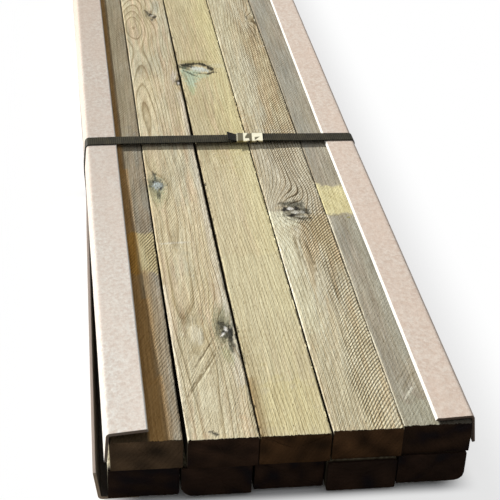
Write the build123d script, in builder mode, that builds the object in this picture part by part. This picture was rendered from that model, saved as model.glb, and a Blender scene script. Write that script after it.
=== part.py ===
"""Strapped bundle of sawn pine battens.

Two flat layers of battens lie with their ends out of line. A bent paperboard angle runs along each long
edge, and two flat bands go round the whole, each closed by a crimped steel seal on top.
Millimetres: X across the bundle, Y along it, Z up. The origin is under the middle, at floor level.
"""

import os
from math import cos, radians, sin

from build123d import *

# Battens: sawn laths, tight at the bands and free to stray between the gaps at their ends
BATTEN_LENGTH = 2400.0
BATTEN_WIDTH = 50.0
BATTEN_THICKNESS = 25.0
ARRIS_RADIUS = 0.8
WANE_RADIUS = 7.0
SIDE_GAP = 1.6
END_STAGGER = 3.3

# Gaps from left to right at the bands, as shares of SIDE_GAP that average 1
GAP_SHARES = {"top": (0.65, 1.85, 0.8, 0.7), "bottom": (0.9, 1.2, 0.8, 1.1)}

# How far each end stands out of line, as a share of END_STAGGER, and how far it strays to the right
# beyond its band, as a share of SIDE_GAP. One value for each batten, from left to right.
FRONT_STAGGER_SHARES = {"top": (-0.05, 0.42, 0.18, -0.27, -0.94), "bottom": (-0.45, 0.3, -0.75, 1.0, -0.3)}
BACK_STAGGER_SHARES = {"top": (0.3, -0.6, 1.0, -0.2, 0.5), "bottom": (-0.8, 0.2, -0.4, 0.6, -0.1)}
FRONT_DRIFT_SHARES = {"top": (0.1, 1.6, 0.05, 0.45, -0.1), "bottom": (-1.0, -1.2, -1.2, -1.2, -1.2)}
BACK_DRIFT_SHARES = {"top": (0.1, -0.05, -0.2, -0.5, -0.1), "bottom": (0.1, 0.6, -0.2, 0.3, -0.1)}
ACROSS = len(FRONT_STAGGER_SHARES["top"])

# Battens of the bottom layer with bark-edge wane on an outer bottom corner: number from the left, and side
WANEY_CORNERS = {2: -1, 5: 1}

# Edge protectors: paperboard angles, pressed flat under the bands and sprung open beyond and between them
BOARD_THICKNESS = 2.2
FLAT_LEG = 27.0
SIDE_LEG = 22.0
BEND_RADIUS = 1.0
SEAT_CLEARANCE = 0.3
END_SETBACK = 3.5
SHORT_SETBACK = 60.0
HELD_LENGTH = 60.0
SPRING_BOW = 4.0
PANELS_PER_STRETCH = 5

# Each protector: side (left is -1) and layer (top is 1)
PROTECTOR_CORNERS = {
    "edge_protector_top_left": (-1, 1),
    "edge_protector_top_right": (1, 1),
    "edge_protector_bottom_left": (-1, -1),
    "edge_protector_bottom_right": (1, -1),
}

# How each one has sprung at its front end, the bands, its middle and its back end: the lift of its flat leg
# and the splay of its side leg in degrees, and how far its bend bows out, as a share of SPRING_BOW
LIFT_DEGREES = {
    "edge_protector_top_left": (6.0, 1.0, 2.4, 4.0),
    "edge_protector_top_right": (1.6, 0.5, 1.0, 1.5),
    "edge_protector_bottom_left": (0.0, 0.0, 0.0, 0.0),
    "edge_protector_bottom_right": (0.0, 0.0, 0.0, 0.0),
}
SPLAY_DEGREES = {
    "edge_protector_top_left": (4.0, 4.0, 12.0, 8.0),
    "edge_protector_top_right": (8.0, 4.0, 6.0, 7.0),
    "edge_protector_bottom_left": (25.0, 4.0, 12.0, 10.0),
    "edge_protector_bottom_right": (10.0, 4.0, 8.0, 25.0),
}
BOW_SHARES = {
    "edge_protector_top_left": (0.0, 0.0, 0.2, 0.1),
    "edge_protector_top_right": (0.0, 0.0, 1.2, 0.3),
    "edge_protector_bottom_left": (0.5, 0.0, 0.2, 0.2),
    "edge_protector_bottom_right": (0.1, 0.0, 0.3, 0.5),
}

# How far each one's ends stand back from the batten ends, in the same order
SETBACKS = dict(zip(PROTECTOR_CORNERS, (END_SETBACK, END_SETBACK, END_SETBACK, SHORT_SETBACK)))

# Bands: flat strapping drawn tight round the protectors, its ends lapped on top
STRAP_WIDTH = 16.0
STRAP_THICKNESS = 0.8
STRAP_CLEARANCE = 0.2
STRAP_FROM_END = 458.0
TAIL_LENGTH = 9.0
TAIL_LIFT = 3.0

# Seals: a steel sleeve folded round both layers of the band, with notches crimped into its edges
SEAL_FROM_CENTRE = 28.0
SEAL_LENGTH = 25.5
SEAL_WALL = 0.5
SEAL_CLEARANCE = 0.1
SEAL_SEAM = 4.0
SEAL_CORNER_RADIUS = 0.5
CRIMP_PITCH = 11.0
CRIMP_SIDE = 3.2

# Places that follow from the sizes above
STACK_WIDTH = ACROSS * BATTEN_WIDTH + (ACROSS - 1) * SIDE_GAP
STACK_BOTTOM = STRAP_THICKNESS + STRAP_CLEARANCE + BOARD_THICKNESS
STACK_TOP = STACK_BOTTOM + 2 * BATTEN_THICKNESS
LAYER_MIDDLE = {"bottom": STACK_BOTTOM + BATTEN_THICKNESS / 2, "top": STACK_TOP - BATTEN_THICKNESS / 2}
STRAP_PLACES = {"front": STRAP_FROM_END - BATTEN_LENGTH / 2, "back": BATTEN_LENGTH / 2 - STRAP_FROM_END}


def outer_bottom_corner(section, side):
    """The lowest vertex of a section that lies farthest to one side (left is -1)."""
    return section.vertices().group_by(Axis.Y)[0].sort_by(Axis.X)[::side][-1]


def batten(layer, index):
    """One batten: its sawn section swept along a line, straight between the bands and bent off beyond them."""
    gaps_before = sum(GAP_SHARES[layer][:index]) * SIDE_GAP
    middle_x = (index + 0.5) * BATTEN_WIDTH + gaps_before - STACK_WIDTH / 2
    middle_z = LAYER_MIDDLE[layer]
    front_end = (
        middle_x + FRONT_DRIFT_SHARES[layer][index] * SIDE_GAP,
        -BATTEN_LENGTH / 2 - FRONT_STAGGER_SHARES[layer][index] * END_STAGGER,
        middle_z,
    )
    back_end = (
        middle_x + BACK_DRIFT_SHARES[layer][index] * SIDE_GAP,
        BATTEN_LENGTH / 2 + BACK_STAGGER_SHARES[layer][index] * END_STAGGER,
        middle_z,
    )
    front_hold = (middle_x, STRAP_PLACES["front"], middle_z)
    back_hold = (middle_x, STRAP_PLACES["back"], middle_z)
    wane_side = WANEY_CORNERS.get(index + 1) if layer == "bottom" else None

    with BuildPart() as lath:
        with BuildLine() as run:
            TangentArc(front_hold, front_end, tangent=(0, -1))
            Line(back_hold, front_hold)
            TangentArc(back_hold, back_end, tangent=(0, 1))
        path = run.wire()
        with BuildSketch(Plane(origin=path @ 1, x_dir=(1, 0, 0), z_dir=path % 1)) as section:
            Rectangle(BATTEN_WIDTH, BATTEN_THICKNESS)
            if wane_side:
                fillet(section.vertices() - [outer_bottom_corner(section, wane_side)], radius=ARRIS_RADIUS)
                fillet(outer_bottom_corner(section, wane_side), radius=WANE_RADIUS)
            else:
                fillet(section.vertices(), radius=ARRIS_RADIUS)
        sweep(path=path)
    lath.part.label = f"batten_{layer}_{index + 1}"
    return lath.part


def protector_stations(name):
    """Places along Y where a protector's form is given: its ends, both edges of each held length, its middle."""
    half_length = BATTEN_LENGTH / 2 - SETBACKS[name]
    front, back = STRAP_PLACES["front"], STRAP_PLACES["back"]
    reach = HELD_LENGTH / 2
    return (-half_length, front - reach, front + reach, 0, back - reach, back + reach, half_length)


def sprung(table, name, place):
    """One protector's value in a table of front, band, middle and back, straight from station to station."""
    front, band, middle, back = table[name]
    known = list(zip(protector_stations(name), (front, band, band, middle, band, band, back)))
    for (start, first), (end, last) in zip(known, known[1:]):
        if place <= end:
            return first + (last - first) * (place - start) / (end - start)
    return back


def protector_bend(name, place):
    """Three points of a protector's inner face in the XZ plane: flat leg's edge, bend, side leg's edge."""
    side, layer = PROTECTOR_CORNERS[name]
    lift = radians(sprung(LIFT_DEGREES, name, place))
    splay = radians(sprung(SPLAY_DEGREES, name, place))
    bend_x = side * (STACK_WIDTH / 2 + SEAT_CLEARANCE + sprung(BOW_SHARES, name, place) * SPRING_BOW)
    bend_z = STACK_TOP + SEAT_CLEARANCE if layer > 0 else STACK_BOTTOM
    flat_edge = (bend_x - side * FLAT_LEG * cos(lift), bend_z + layer * FLAT_LEG * sin(lift))
    side_edge = (bend_x + side * SIDE_LEG * sin(splay), bend_z - layer * SIDE_LEG * cos(splay))
    return flat_edge, (bend_x, bend_z), side_edge


def protector_section(name, place, plane):
    """The cross-section of one protector at a place along Y, drawn on a plane: a board bent on a small radius."""
    side, layer = PROTECTOR_CORNERS[name]
    outside = Side.LEFT if side * layer > 0 else Side.RIGHT
    with BuildSketch(plane) as section:
        with BuildLine():
            FilletPolyline(*protector_bend(name, place), radius=BEND_RADIUS)
            offset(amount=BOARD_THICKNESS, side=outside)
        make_face()
    return section.sketch


def protector(name):
    """One edge protector: a loft of short straight panels, so that its legs can turn along the bundle."""
    stations = protector_stations(name)
    places = []
    for start, end in zip(stations, stations[1:]):
        panels = 1 if end - start <= HELD_LENGTH else PANELS_PER_STRETCH
        places += [start + (end - start) * step / panels for step in range(panels)]
    places.append(stations[-1])
    with BuildPart() as board:
        loft([protector_section(name, place, Plane.XZ.offset(-place)) for place in places], ruled=True)
    board.part.label = name
    return board.part


def girth_face():
    """The tightest outline round all four protectors where they are held, which the bands follow."""
    with BuildSketch(Plane.XZ) as girth:
        for name in PROTECTOR_CORNERS:
            add(protector_section(name, STRAP_PLACES["front"], Plane.XZ))
        make_hull()
    return girth.sketch


def top_run():
    """The line of the band's inner face over the top: its left end and its unit direction, in XZ."""
    ends = []
    stand_off = BOARD_THICKNESS + STRAP_CLEARANCE
    for name in ("edge_protector_top_left", "edge_protector_top_right"):
        side = PROTECTOR_CORNERS[name][0]
        lift = radians(sprung(LIFT_DEGREES, name, STRAP_PLACES["front"]))
        edge_x, edge_z = protector_bend(name, STRAP_PLACES["front"])[0]
        ends.append(Vector(edge_x + side * stand_off * sin(lift), edge_z + stand_off * cos(lift)))
    return ends[0], (ends[1] - ends[0]).normalized()


def lap_plane():
    """A plane in XZ with its origin on the band's outer face under the seal's middle, x along the band."""
    left_end, along = top_run()
    reach = (SEAL_FROM_CENTRE - left_end.X) / along.X
    upward = Vector(-along.Y, along.X)
    middle = left_end + along * reach + upward * STRAP_THICKNESS
    return Plane(origin=(middle.X, 0, middle.Y), x_dir=(along.X, 0, along.Y), z_dir=(0, -1, 0))


def strap(name, place):
    """One band: a ring round the girth, its outer end lapped over the inner one and lifted at the tip."""
    half_seal = SEAL_LENGTH / 2
    lapped_end = [
        (STACK_WIDTH / 2 - FLAT_LEG - SEAL_FROM_CENTRE, 0),
        (half_seal, STRAP_THICKNESS),
        (-half_seal, STRAP_THICKNESS),
        (-half_seal - TAIL_LENGTH, STRAP_THICKNESS + TAIL_LIFT),
        (-half_seal - TAIL_LENGTH, TAIL_LIFT),
        (-half_seal, 0),
    ]
    with BuildPart() as band:
        with BuildSketch(Plane.XZ.offset(-place)):
            offset(girth_face(), amount=STRAP_CLEARANCE + STRAP_THICKNESS)
            offset(girth_face(), amount=STRAP_CLEARANCE, mode=Mode.SUBTRACT)
        extrude(amount=STRAP_WIDTH / 2, both=True)
        with BuildSketch(lap_plane().offset(-place)):
            with BuildLine():
                Polyline(*lapped_end, close=True)
            make_face()
        extrude(amount=STRAP_WIDTH / 2, both=True)
    band.part.label = name
    return band.part


def seal(name, place):
    """One seal: a sleeve round both layers of the band, open along a seam below, with notched edges."""
    lap = lap_plane()
    middle = lap.origin + Vector(0, place, 0)
    slot_width = STRAP_WIDTH + 2 * SEAL_CLEARANCE
    slot_height = 2 * STRAP_THICKNESS + 2 * SEAL_CLEARANCE
    sleeve_width = slot_width + 2 * SEAL_WALL
    sleeve_height = slot_height + 2 * SEAL_WALL
    with BuildPart() as sleeve:
        with BuildSketch(Plane(origin=middle, x_dir=(0, 1, 0), z_dir=lap.x_dir)):
            RectangleRounded(sleeve_width, sleeve_height, SEAL_CORNER_RADIUS)
            Rectangle(slot_width, slot_height, mode=Mode.SUBTRACT)
            with Locations((0, -slot_height / 2)):
                Rectangle(SEAL_SEAM, sleeve_height, align=(Align.CENTER, Align.MAX), mode=Mode.SUBTRACT)
        extrude(amount=SEAL_LENGTH / 2, both=True)
        with BuildSketch(Plane(origin=middle, x_dir=lap.x_dir, z_dir=lap.y_dir)):
            with GridLocations(CRIMP_PITCH, sleeve_width, 2, 2):
                Rectangle(CRIMP_SIDE, CRIMP_SIDE, rotation=45)
        extrude(amount=sleeve_height, both=True, mode=Mode.SUBTRACT)
    sleeve.part.label = name
    return sleeve.part


pieces = [batten(layer, index) for layer in ("top", "bottom") for index in range(ACROSS)]
pieces += [protector(name) for name in PROTECTOR_CORNERS]
pieces += [strap(f"strap_{end}", place) for end, place in STRAP_PLACES.items()]
pieces += [seal(f"strap_seal_{end}", place) for end, place in STRAP_PLACES.items()]

os.makedirs("parts", exist_ok=True)
for piece in pieces:
    export_step(piece, f"parts/{piece.label}.step")
    print(piece.label, round(piece.volume), "mm3")
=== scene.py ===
# %% [markdown]
# A strapped bundle of sawn pine battens.
# The solids of the part come in first, as a fixed frame in metres. Everything made below is a closer
# likeness of one of those solids and lies in the same place: numpy works out each surface as an array,
# and Blender only gets the finished points, faces and attributes.

# %% Load the frame and measure it
from math import cos, pi, radians, sin

import bpy
import numpy as np
from mathutils import Matrix


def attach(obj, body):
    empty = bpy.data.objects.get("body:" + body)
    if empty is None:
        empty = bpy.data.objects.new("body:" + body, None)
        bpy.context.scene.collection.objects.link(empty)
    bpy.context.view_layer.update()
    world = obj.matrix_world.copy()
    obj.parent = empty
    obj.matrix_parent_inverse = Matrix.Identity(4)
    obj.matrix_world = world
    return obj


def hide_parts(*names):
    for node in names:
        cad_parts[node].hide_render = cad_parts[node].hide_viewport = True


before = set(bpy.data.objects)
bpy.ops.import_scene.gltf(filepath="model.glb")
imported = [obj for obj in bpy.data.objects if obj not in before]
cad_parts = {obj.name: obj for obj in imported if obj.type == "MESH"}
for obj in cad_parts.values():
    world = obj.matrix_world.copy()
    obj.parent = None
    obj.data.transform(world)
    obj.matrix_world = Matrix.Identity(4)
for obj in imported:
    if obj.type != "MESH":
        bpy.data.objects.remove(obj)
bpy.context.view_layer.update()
MM = 0.001

# %% [markdown]
# Wood is never even, so most of what follows is random but smooth. A noise texture would do for colour, but
# a field worked out in numpy can also move the points of a mesh. Ours is a sum of sine waves whose
# directions and phases come from a seed, so that each run gives the same wood.

# %% Smooth random fields
ENDLESS = 1e9


def ripple(x, y, length_x, length_y, seed, count=14):
    """Sum of `count` sine waves with normally spread wave numbers, scaled to a spread of about one."""
    draw = np.random.default_rng(seed)
    wave_x = draw.normal(0, 2 * pi / length_x, count)
    wave_y = draw.normal(0, 2 * pi / length_y, count)
    phase = draw.uniform(0, 2 * pi, count)
    angle = np.asarray(x)[..., None] * wave_x + np.asarray(y)[..., None] * wave_y + phase
    return np.sin(angle).sum(-1) / np.sqrt(count / 2)


def ripple_along(y, length, seed):
    """The same sum of waves, with nothing but y to vary along."""
    return ripple(np.zeros_like(y), y, ENDLESS, length, seed)


def smooth_step(low, high, value):
    """0 below `low`, 1 above `high`, and the cubic 3t^2 - 2t^3 between them."""
    t = np.clip((value - low) / (high - low), 0, 1)
    return t * t * (3 - 2 * t)


print("spread of a ripple:", round(float(ripple_along(np.linspace(0, 900, 500), 30, 1).std()), 2))

# %% [markdown]
# Each piece is a grid of points whose columns close on themselves, like a tube. Its ends are closed by fans
# of triangles, or by strips where the section is a bent sheet. The mesh maker hands all arrays to Blender in
# one go, ties the new piece to the frame, and hides the solid that it stands for.


# %% Faces of a tube, and the mesh maker
def loop_quads(rows, columns):
    """Quads between neighbouring rows of a grid, the last column joined to the first."""
    index = np.arange(rows * columns).reshape(rows, columns)
    beside = np.roll(index, -1, axis=1)
    return np.stack([index[:-1], beside[:-1], beside[1:], index[1:]], axis=-1).reshape(-1, 4)


def tube_faces(rows, columns):
    """The quads of a tube and a fan on each end, round two hub points that come after the grid's own."""
    first = np.arange(columns)
    beside = np.roll(first, -1)
    last_row = (rows - 1) * columns
    hub = np.full(columns, rows * columns)
    front = np.stack([beside, first, hub], axis=-1)
    back = np.stack([last_row + first, last_row + beside, hub + 1], axis=-1)
    return loop_quads(rows, columns).tolist() + front.tolist() + back.tolist()


def with_hubs(grid):
    """Flattens a grid of values and adds the mean of its first and last row, for the two hubs."""
    flat = grid.reshape(-1, *grid.shape[2:])
    return np.concatenate([flat, grid[:1].mean(axis=1), grid[-1:].mean(axis=1)])


def add_to_scene(name, data):
    """A new object of the scene that holds the given data."""
    thing = bpy.data.objects.new(name, data)
    bpy.context.scene.collection.objects.link(thing)
    return thing


def make_piece(name, points_mm, faces, material, node, floats=None, colours=None, rounded=None):
    """Makes one mesh object from millimetre points, with its attributes, and ties it to the frame.

    `rounded` tells for each face whether it is shaded smooth. By default all faces are.
    """
    mesh = bpy.data.meshes.new(name)
    mesh.from_pydata((points_mm * MM).tolist(), [], faces)
    for key, values in (floats or {}).items():
        mesh.attributes.new(key, "FLOAT", "POINT").data.foreach_set("value", values.astype(np.float32))
    for key, values in (colours or {}).items():
        opaque = np.concatenate([values, np.ones((len(values), 1))], axis=1).astype(np.float32)
        mesh.attributes.new(key, "FLOAT_COLOR", "POINT").data.foreach_set("color", opaque.ravel())
    if rounded is None:
        rounded = np.ones(len(faces), dtype=bool)
    mesh.polygons.foreach_set("use_smooth", rounded)
    mesh.update()
    mesh.materials.append(material)
    piece = add_to_scene(name, mesh)
    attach(piece, "root")
    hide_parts(node)
    print(name, len(faces), "faces")


print("faces of a tube of 3 rows and 8 columns:", len(tube_faces(3, 8)))

# %% [markdown]
# Node materials are wired with a few short functions, so that a finish reads like a sum: a value goes in,
# a socket comes out. Numbers that are the same all over a surface are written straight on the shader.


# %% Short functions for node trees
def new_finish(name, roughness, specular, metallic=0.0):
    """A material with one Principled shader whose plain values are set on its own sockets."""
    material = bpy.data.materials.new(name)
    material.use_nodes = True
    shader = material.node_tree.nodes["Principled BSDF"]
    shader.inputs["Roughness"].default_value = roughness
    shader.inputs["Specular IOR Level"].default_value = specular
    shader.inputs["Metallic"].default_value = metallic
    return material, material.node_tree, shader


def put(tree, kind, inputs, output=0, **settings):
    """Adds a node, sets or links its inputs by name or number, and returns one output socket."""
    node = tree.nodes.new(kind)
    for key, value in settings.items():
        setattr(node, key, value)
    for key, value in inputs.items():
        socket = node.inputs[key]
        if isinstance(value, bpy.types.NodeSocket):
            tree.links.new(value, socket)
        else:
            socket.default_value = value
    return node.outputs[output] if node.outputs else node


def sums(tree, operation, first, second=0.0, third=0.0):
    """One Math node."""
    return put(tree, "ShaderNodeMath", {0: first, 1: second, 2: third}, operation=operation)


def swung(tree, noise, amount):
    """1 + amount (noise - 1/2), a factor that swings about one."""
    return sums(tree, "MULTIPLY_ADD", noise, amount, 1 - amount / 2)


def product(tree, *factors):
    """The product of several values."""
    total = factors[0]
    for factor in factors[1:]:
        total = sums(tree, "MULTIPLY", total, factor)
    return total


def added_up(tree, start, *terms):
    """A start value plus the sum of (value, weight) terms."""
    total = start
    for value, weight in terms:
        total = sums(tree, "MULTIPLY_ADD", value, weight, total)
    return total


print("number helpers ready")

# %% [markdown]
# The other half of the helpers gives places and colours: noise, ramps, mixes, and the attributes that the
# pieces carry. A bump node turns a height into the shader's normal, so that marks too fine for the mesh
# still catch the light.


# %% Noise, ramps, mixes and bumps
def scaled(tree, colour, factor):
    """A colour times one number."""
    return put(tree, "ShaderNodeVectorMath", {0: colour, 3: factor}, operation="SCALE")


def blended(tree, factor, first, second, blend="MIX"):
    """Two colours mixed by a factor."""
    inputs = {0: factor, 6: first, 7: second}
    return put(tree, "ShaderNodeMix", inputs, output=2, data_type="RGBA", blend_type=blend)


def object_place(tree):
    """Object coordinates, in metres."""
    return put(tree, "ShaderNodeTexCoord", {}, output="Object")


def stretched_noise(tree, scale, detail=3.0, roughness=0.55):
    """Noise on Object coordinates, with its own scale on each axis in waves per metre."""
    mapped = put(tree, "ShaderNodeMapping", {"Vector": object_place(tree), "Scale": scale})
    inputs = {"Vector": mapped, "Scale": 1.0, "Detail": detail, "Roughness": roughness}
    return put(tree, "ShaderNodeTexNoise", inputs)


def stops(tree, value, *places):
    """A colour ramp through (position, grey level) stops."""
    output = put(tree, "ShaderNodeValToRGB", {"Fac": value})
    elements = output.node.color_ramp.elements
    while len(elements) < len(places):
        elements.new(0.5)
    for element, (position, level) in zip(elements, places):
        element.position = position
        element.color = (level, level, level, 1)
    return output


def attribute(tree, name, output="Fac"):
    """A mesh attribute: a number, or a colour with output="Color"."""
    return put(tree, "ShaderNodeAttribute", {}, output=output, attribute_name=name)


def bumped(tree, shader, height, strength, distance):
    """Turns a height into the shader's normal."""
    inputs = {"Height": height, "Strength": strength, "Distance": distance}
    tree.links.new(put(tree, "ShaderNodeBump", inputs), shader.inputs["Normal"])


print("colour helpers ready")

# %% [markdown]
# Sawn pine has three things to show: the growth rings, the fibre, and the marks of the saw.
# Image textures would repeat on every batten, and a solid texture can't bend round a knot, so each batten
# carries its own ring count, saw phase and tone as attributes, and one finish turns them into wood:
# a ring is pale for most of its width and ends in a dark, hard, slightly raised line. Noise drawn out
# along the lines of equal ring count is fibre that flows round the knots; noise drawn out along the saw
# strokes is the scraping between them.


# %% The marks of sawn pine
def streaks(tree, phase, phase_scale, along_scale, axis="Y"):
    """Noise drawn out along the lines of equal phase: fast across them, slow along one axis."""
    axes = put(tree, "ShaderNodeSeparateXYZ", {"Vector": object_place(tree)}).node
    across = sums(tree, "MULTIPLY", phase, phase_scale)
    slow = sums(tree, "MULTIPLY", axes.outputs[axis], along_scale)
    vector = put(tree, "ShaderNodeCombineXYZ", {"X": across, "Y": slow, "Z": axes.outputs["Z"]})
    inputs = {"Vector": vector, "Scale": 1.0, "Detail": 3.0, "Roughness": 0.6}
    return put(tree, "ShaderNodeTexNoise", inputs)


def pine_marks(tree):
    """Sockets for each mark. Hair and scrape swing about 0; the others lie between 0 and about 1."""
    ring, saw, knot = (attribute(tree, name) for name in ("ring", "saw", "knot"))
    marks = put(tree, "ShaderNodeSeparateColor", {"Color": attribute(tree, "marks", "Color")}).node
    depth, contrast, rough = marks.outputs
    grain = streaks(tree, ring, 2.6, 16.0)
    fuzz = stretched_noise(tree, (620, 30, 620), detail=3.0, roughness=0.65)
    pore = stretched_noise(tree, (1050, 230, 1050), detail=2.0, roughness=0.6)
    fleck = stretched_noise(tree, (620, 170, 620), detail=2.0, roughness=0.5)
    crumb = stretched_noise(tree, (520, 420, 520), detail=3.0, roughness=0.6)

    ring_place = sums(tree, "FRACT", sums(tree, "MULTIPLY_ADD", grain, 0.35, ring))
    late = stops(
        tree, ring_place, (0.0, 0.1), (0.06, 0.0), (0.66, 0.03), (0.84, 0.65), (0.92, 1.0), (1.0, 0.1))
    stroke_place = sums(tree, "FRACT", sums(tree, "MULTIPLY_ADD", fuzz, 0.5, saw))
    stroke = stops(tree, stroke_place, (0.0, 0.0), (0.25, 0.1), (0.55, 1.0), (0.75, 0.45), (1.0, 0.0))
    scrape = sums(tree, "SUBTRACT", streaks(tree, saw, 1.7, 55.0, axis="X"), 0.5)
    hair = sums(tree, "SUBTRACT", fuzz, 0.5)
    return dict(
        late=sums(tree, "MULTIPLY", late, contrast),
        grain=grain,
        hair=sums(tree, "MULTIPLY", hair, sums(tree, "MULTIPLY_ADD", rough, 0.7, 0.4)),
        pore=pore,
        stroke=sums(tree, "MULTIPLY", stroke, depth),
        scrape=sums(tree, "MULTIPLY", scrape, rough),
        speck=stops(tree, fleck, (0.0, 0.0), (0.67, 0.0), (0.74, 1.0)),
        crack=product(tree, knot, stops(tree, crumb, (0.0, 1.0), (0.4, 1.0), (0.47, 0.0))),
    )


print("marks of sawn pine described")

# %% [markdown]
# Each mark darkens or lightens the batten's own tone, and dark wood is browner wood: red falls off more
# slowly than blue. The same marks, with other weights, are the height of the surface.

# %% The finish of sawn pine
DARKENING = (("hair", 1.1), ("stroke", -0.5), ("scrape", 1.0), ("speck", -0.35), ("crack", -0.7))
RELIEF = (("late", 0.2), ("hair", 1.0), ("pore", 0.5), ("stroke", -0.9), ("scrape", 0.7), ("speck", -0.3),
          ("crack", -0.6))


def sawn_pine_finish():
    """Colour = tone x shade, browner where darker; shade = ring x grain x pore x product of (1 + w mark)."""
    material, tree, shader = new_finish("sawn_pine", roughness=0.85, specular=0.06)
    marks = pine_marks(tree)
    shade = product(
        tree,
        sums(tree, "MULTIPLY_ADD", marks["late"], -0.68, 1.08),
        swung(tree, marks["grain"], 0.5),
        swung(tree, marks["pore"], 0.7),
        *(sums(tree, "MULTIPLY_ADD", marks[name], weight, 1.0) for name, weight in DARKENING),
    )
    browner = put(tree, "ShaderNodeCombineColor", {
        "Red": sums(tree, "POWER", shade, 0.86), "Green": shade, "Blue": sums(tree, "POWER", shade, 1.22)})
    colour = blended(tree, 1.0, attribute(tree, "tone", "Color"), browner, blend="MULTIPLY")
    tree.links.new(colour, shader.inputs["Base Color"])
    height = added_up(tree, sums(tree, "MULTIPLY", marks["grain"], 0.4),
                      *((marks[name], weight) for name, weight in RELIEF))
    bumped(tree, shader, height, strength=0.9, distance=0.0006)
    return material


sawn_pine = sawn_pine_finish()
print("finish:", sawn_pine.name, len(sawn_pine.node_tree.nodes), "nodes")

# %% [markdown]
# The sizes repeat the part's own: the section of a batten, where the bands hold it, how far each end
# stands out and strays. Outs are in shares of the stagger, gaps and drifts in shares of the side gap.
# Between the bands a batten is straight. Beyond them it bends off by a parabola, which over half a metre is
# the same as the arc of the solid.

# %% Sizes of the battens
LENGTH = 2400.0
WIDTH = 50.0
THICKNESS = 25.0
ARRIS = 0.6
WANE = 7.0
SIDE_GAP = 1.6
END_STAGGER = 3.3
BAND_PLACE = 742.0
STACK_BOTTOM = 3.2
LAYER_MIDDLE = {"top": STACK_BOTTOM + 1.5 * THICKNESS, "bottom": STACK_BOTTOM + 0.5 * THICKNESS}
FRONT_OUT = {"top": (-0.05, 0.42, 0.18, -0.27, -0.94), "bottom": (-0.45, 0.3, -0.75, 1.0, -0.3)}
BACK_OUT = {"top": (0.3, -0.6, 1.0, -0.2, 0.5), "bottom": (-0.8, 0.2, -0.4, 0.6, -0.1)}
GAPS = {"top": (0.65, 1.85, 0.8, 0.7), "bottom": (0.9, 1.2, 0.8, 1.1)}
FRONT_DRIFT = {"top": (0.1, 1.6, 0.05, 0.45, -0.1), "bottom": (-1.0, -1.2, -1.2, -1.2, -1.2)}
BACK_DRIFT = {"top": (0.1, -0.05, -0.2, -0.5, -0.1), "bottom": (0.1, 0.6, -0.2, 0.3, -0.1)}
STACK_HALF = 2.5 * WIDTH + 2 * SIDE_GAP
WANEY_SIDES = {2: -1, 5: 1}


def middle_x(layer, number):
    """Middle of a batten across the bundle, after the battens and gaps to its left."""
    return (number - 0.5) * WIDTH + sum(GAPS[layer][:number - 1]) * SIDE_GAP - STACK_HALF


print("batten", WIDTH, "x", THICKNESS, "x", LENGTH, "mm")
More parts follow.
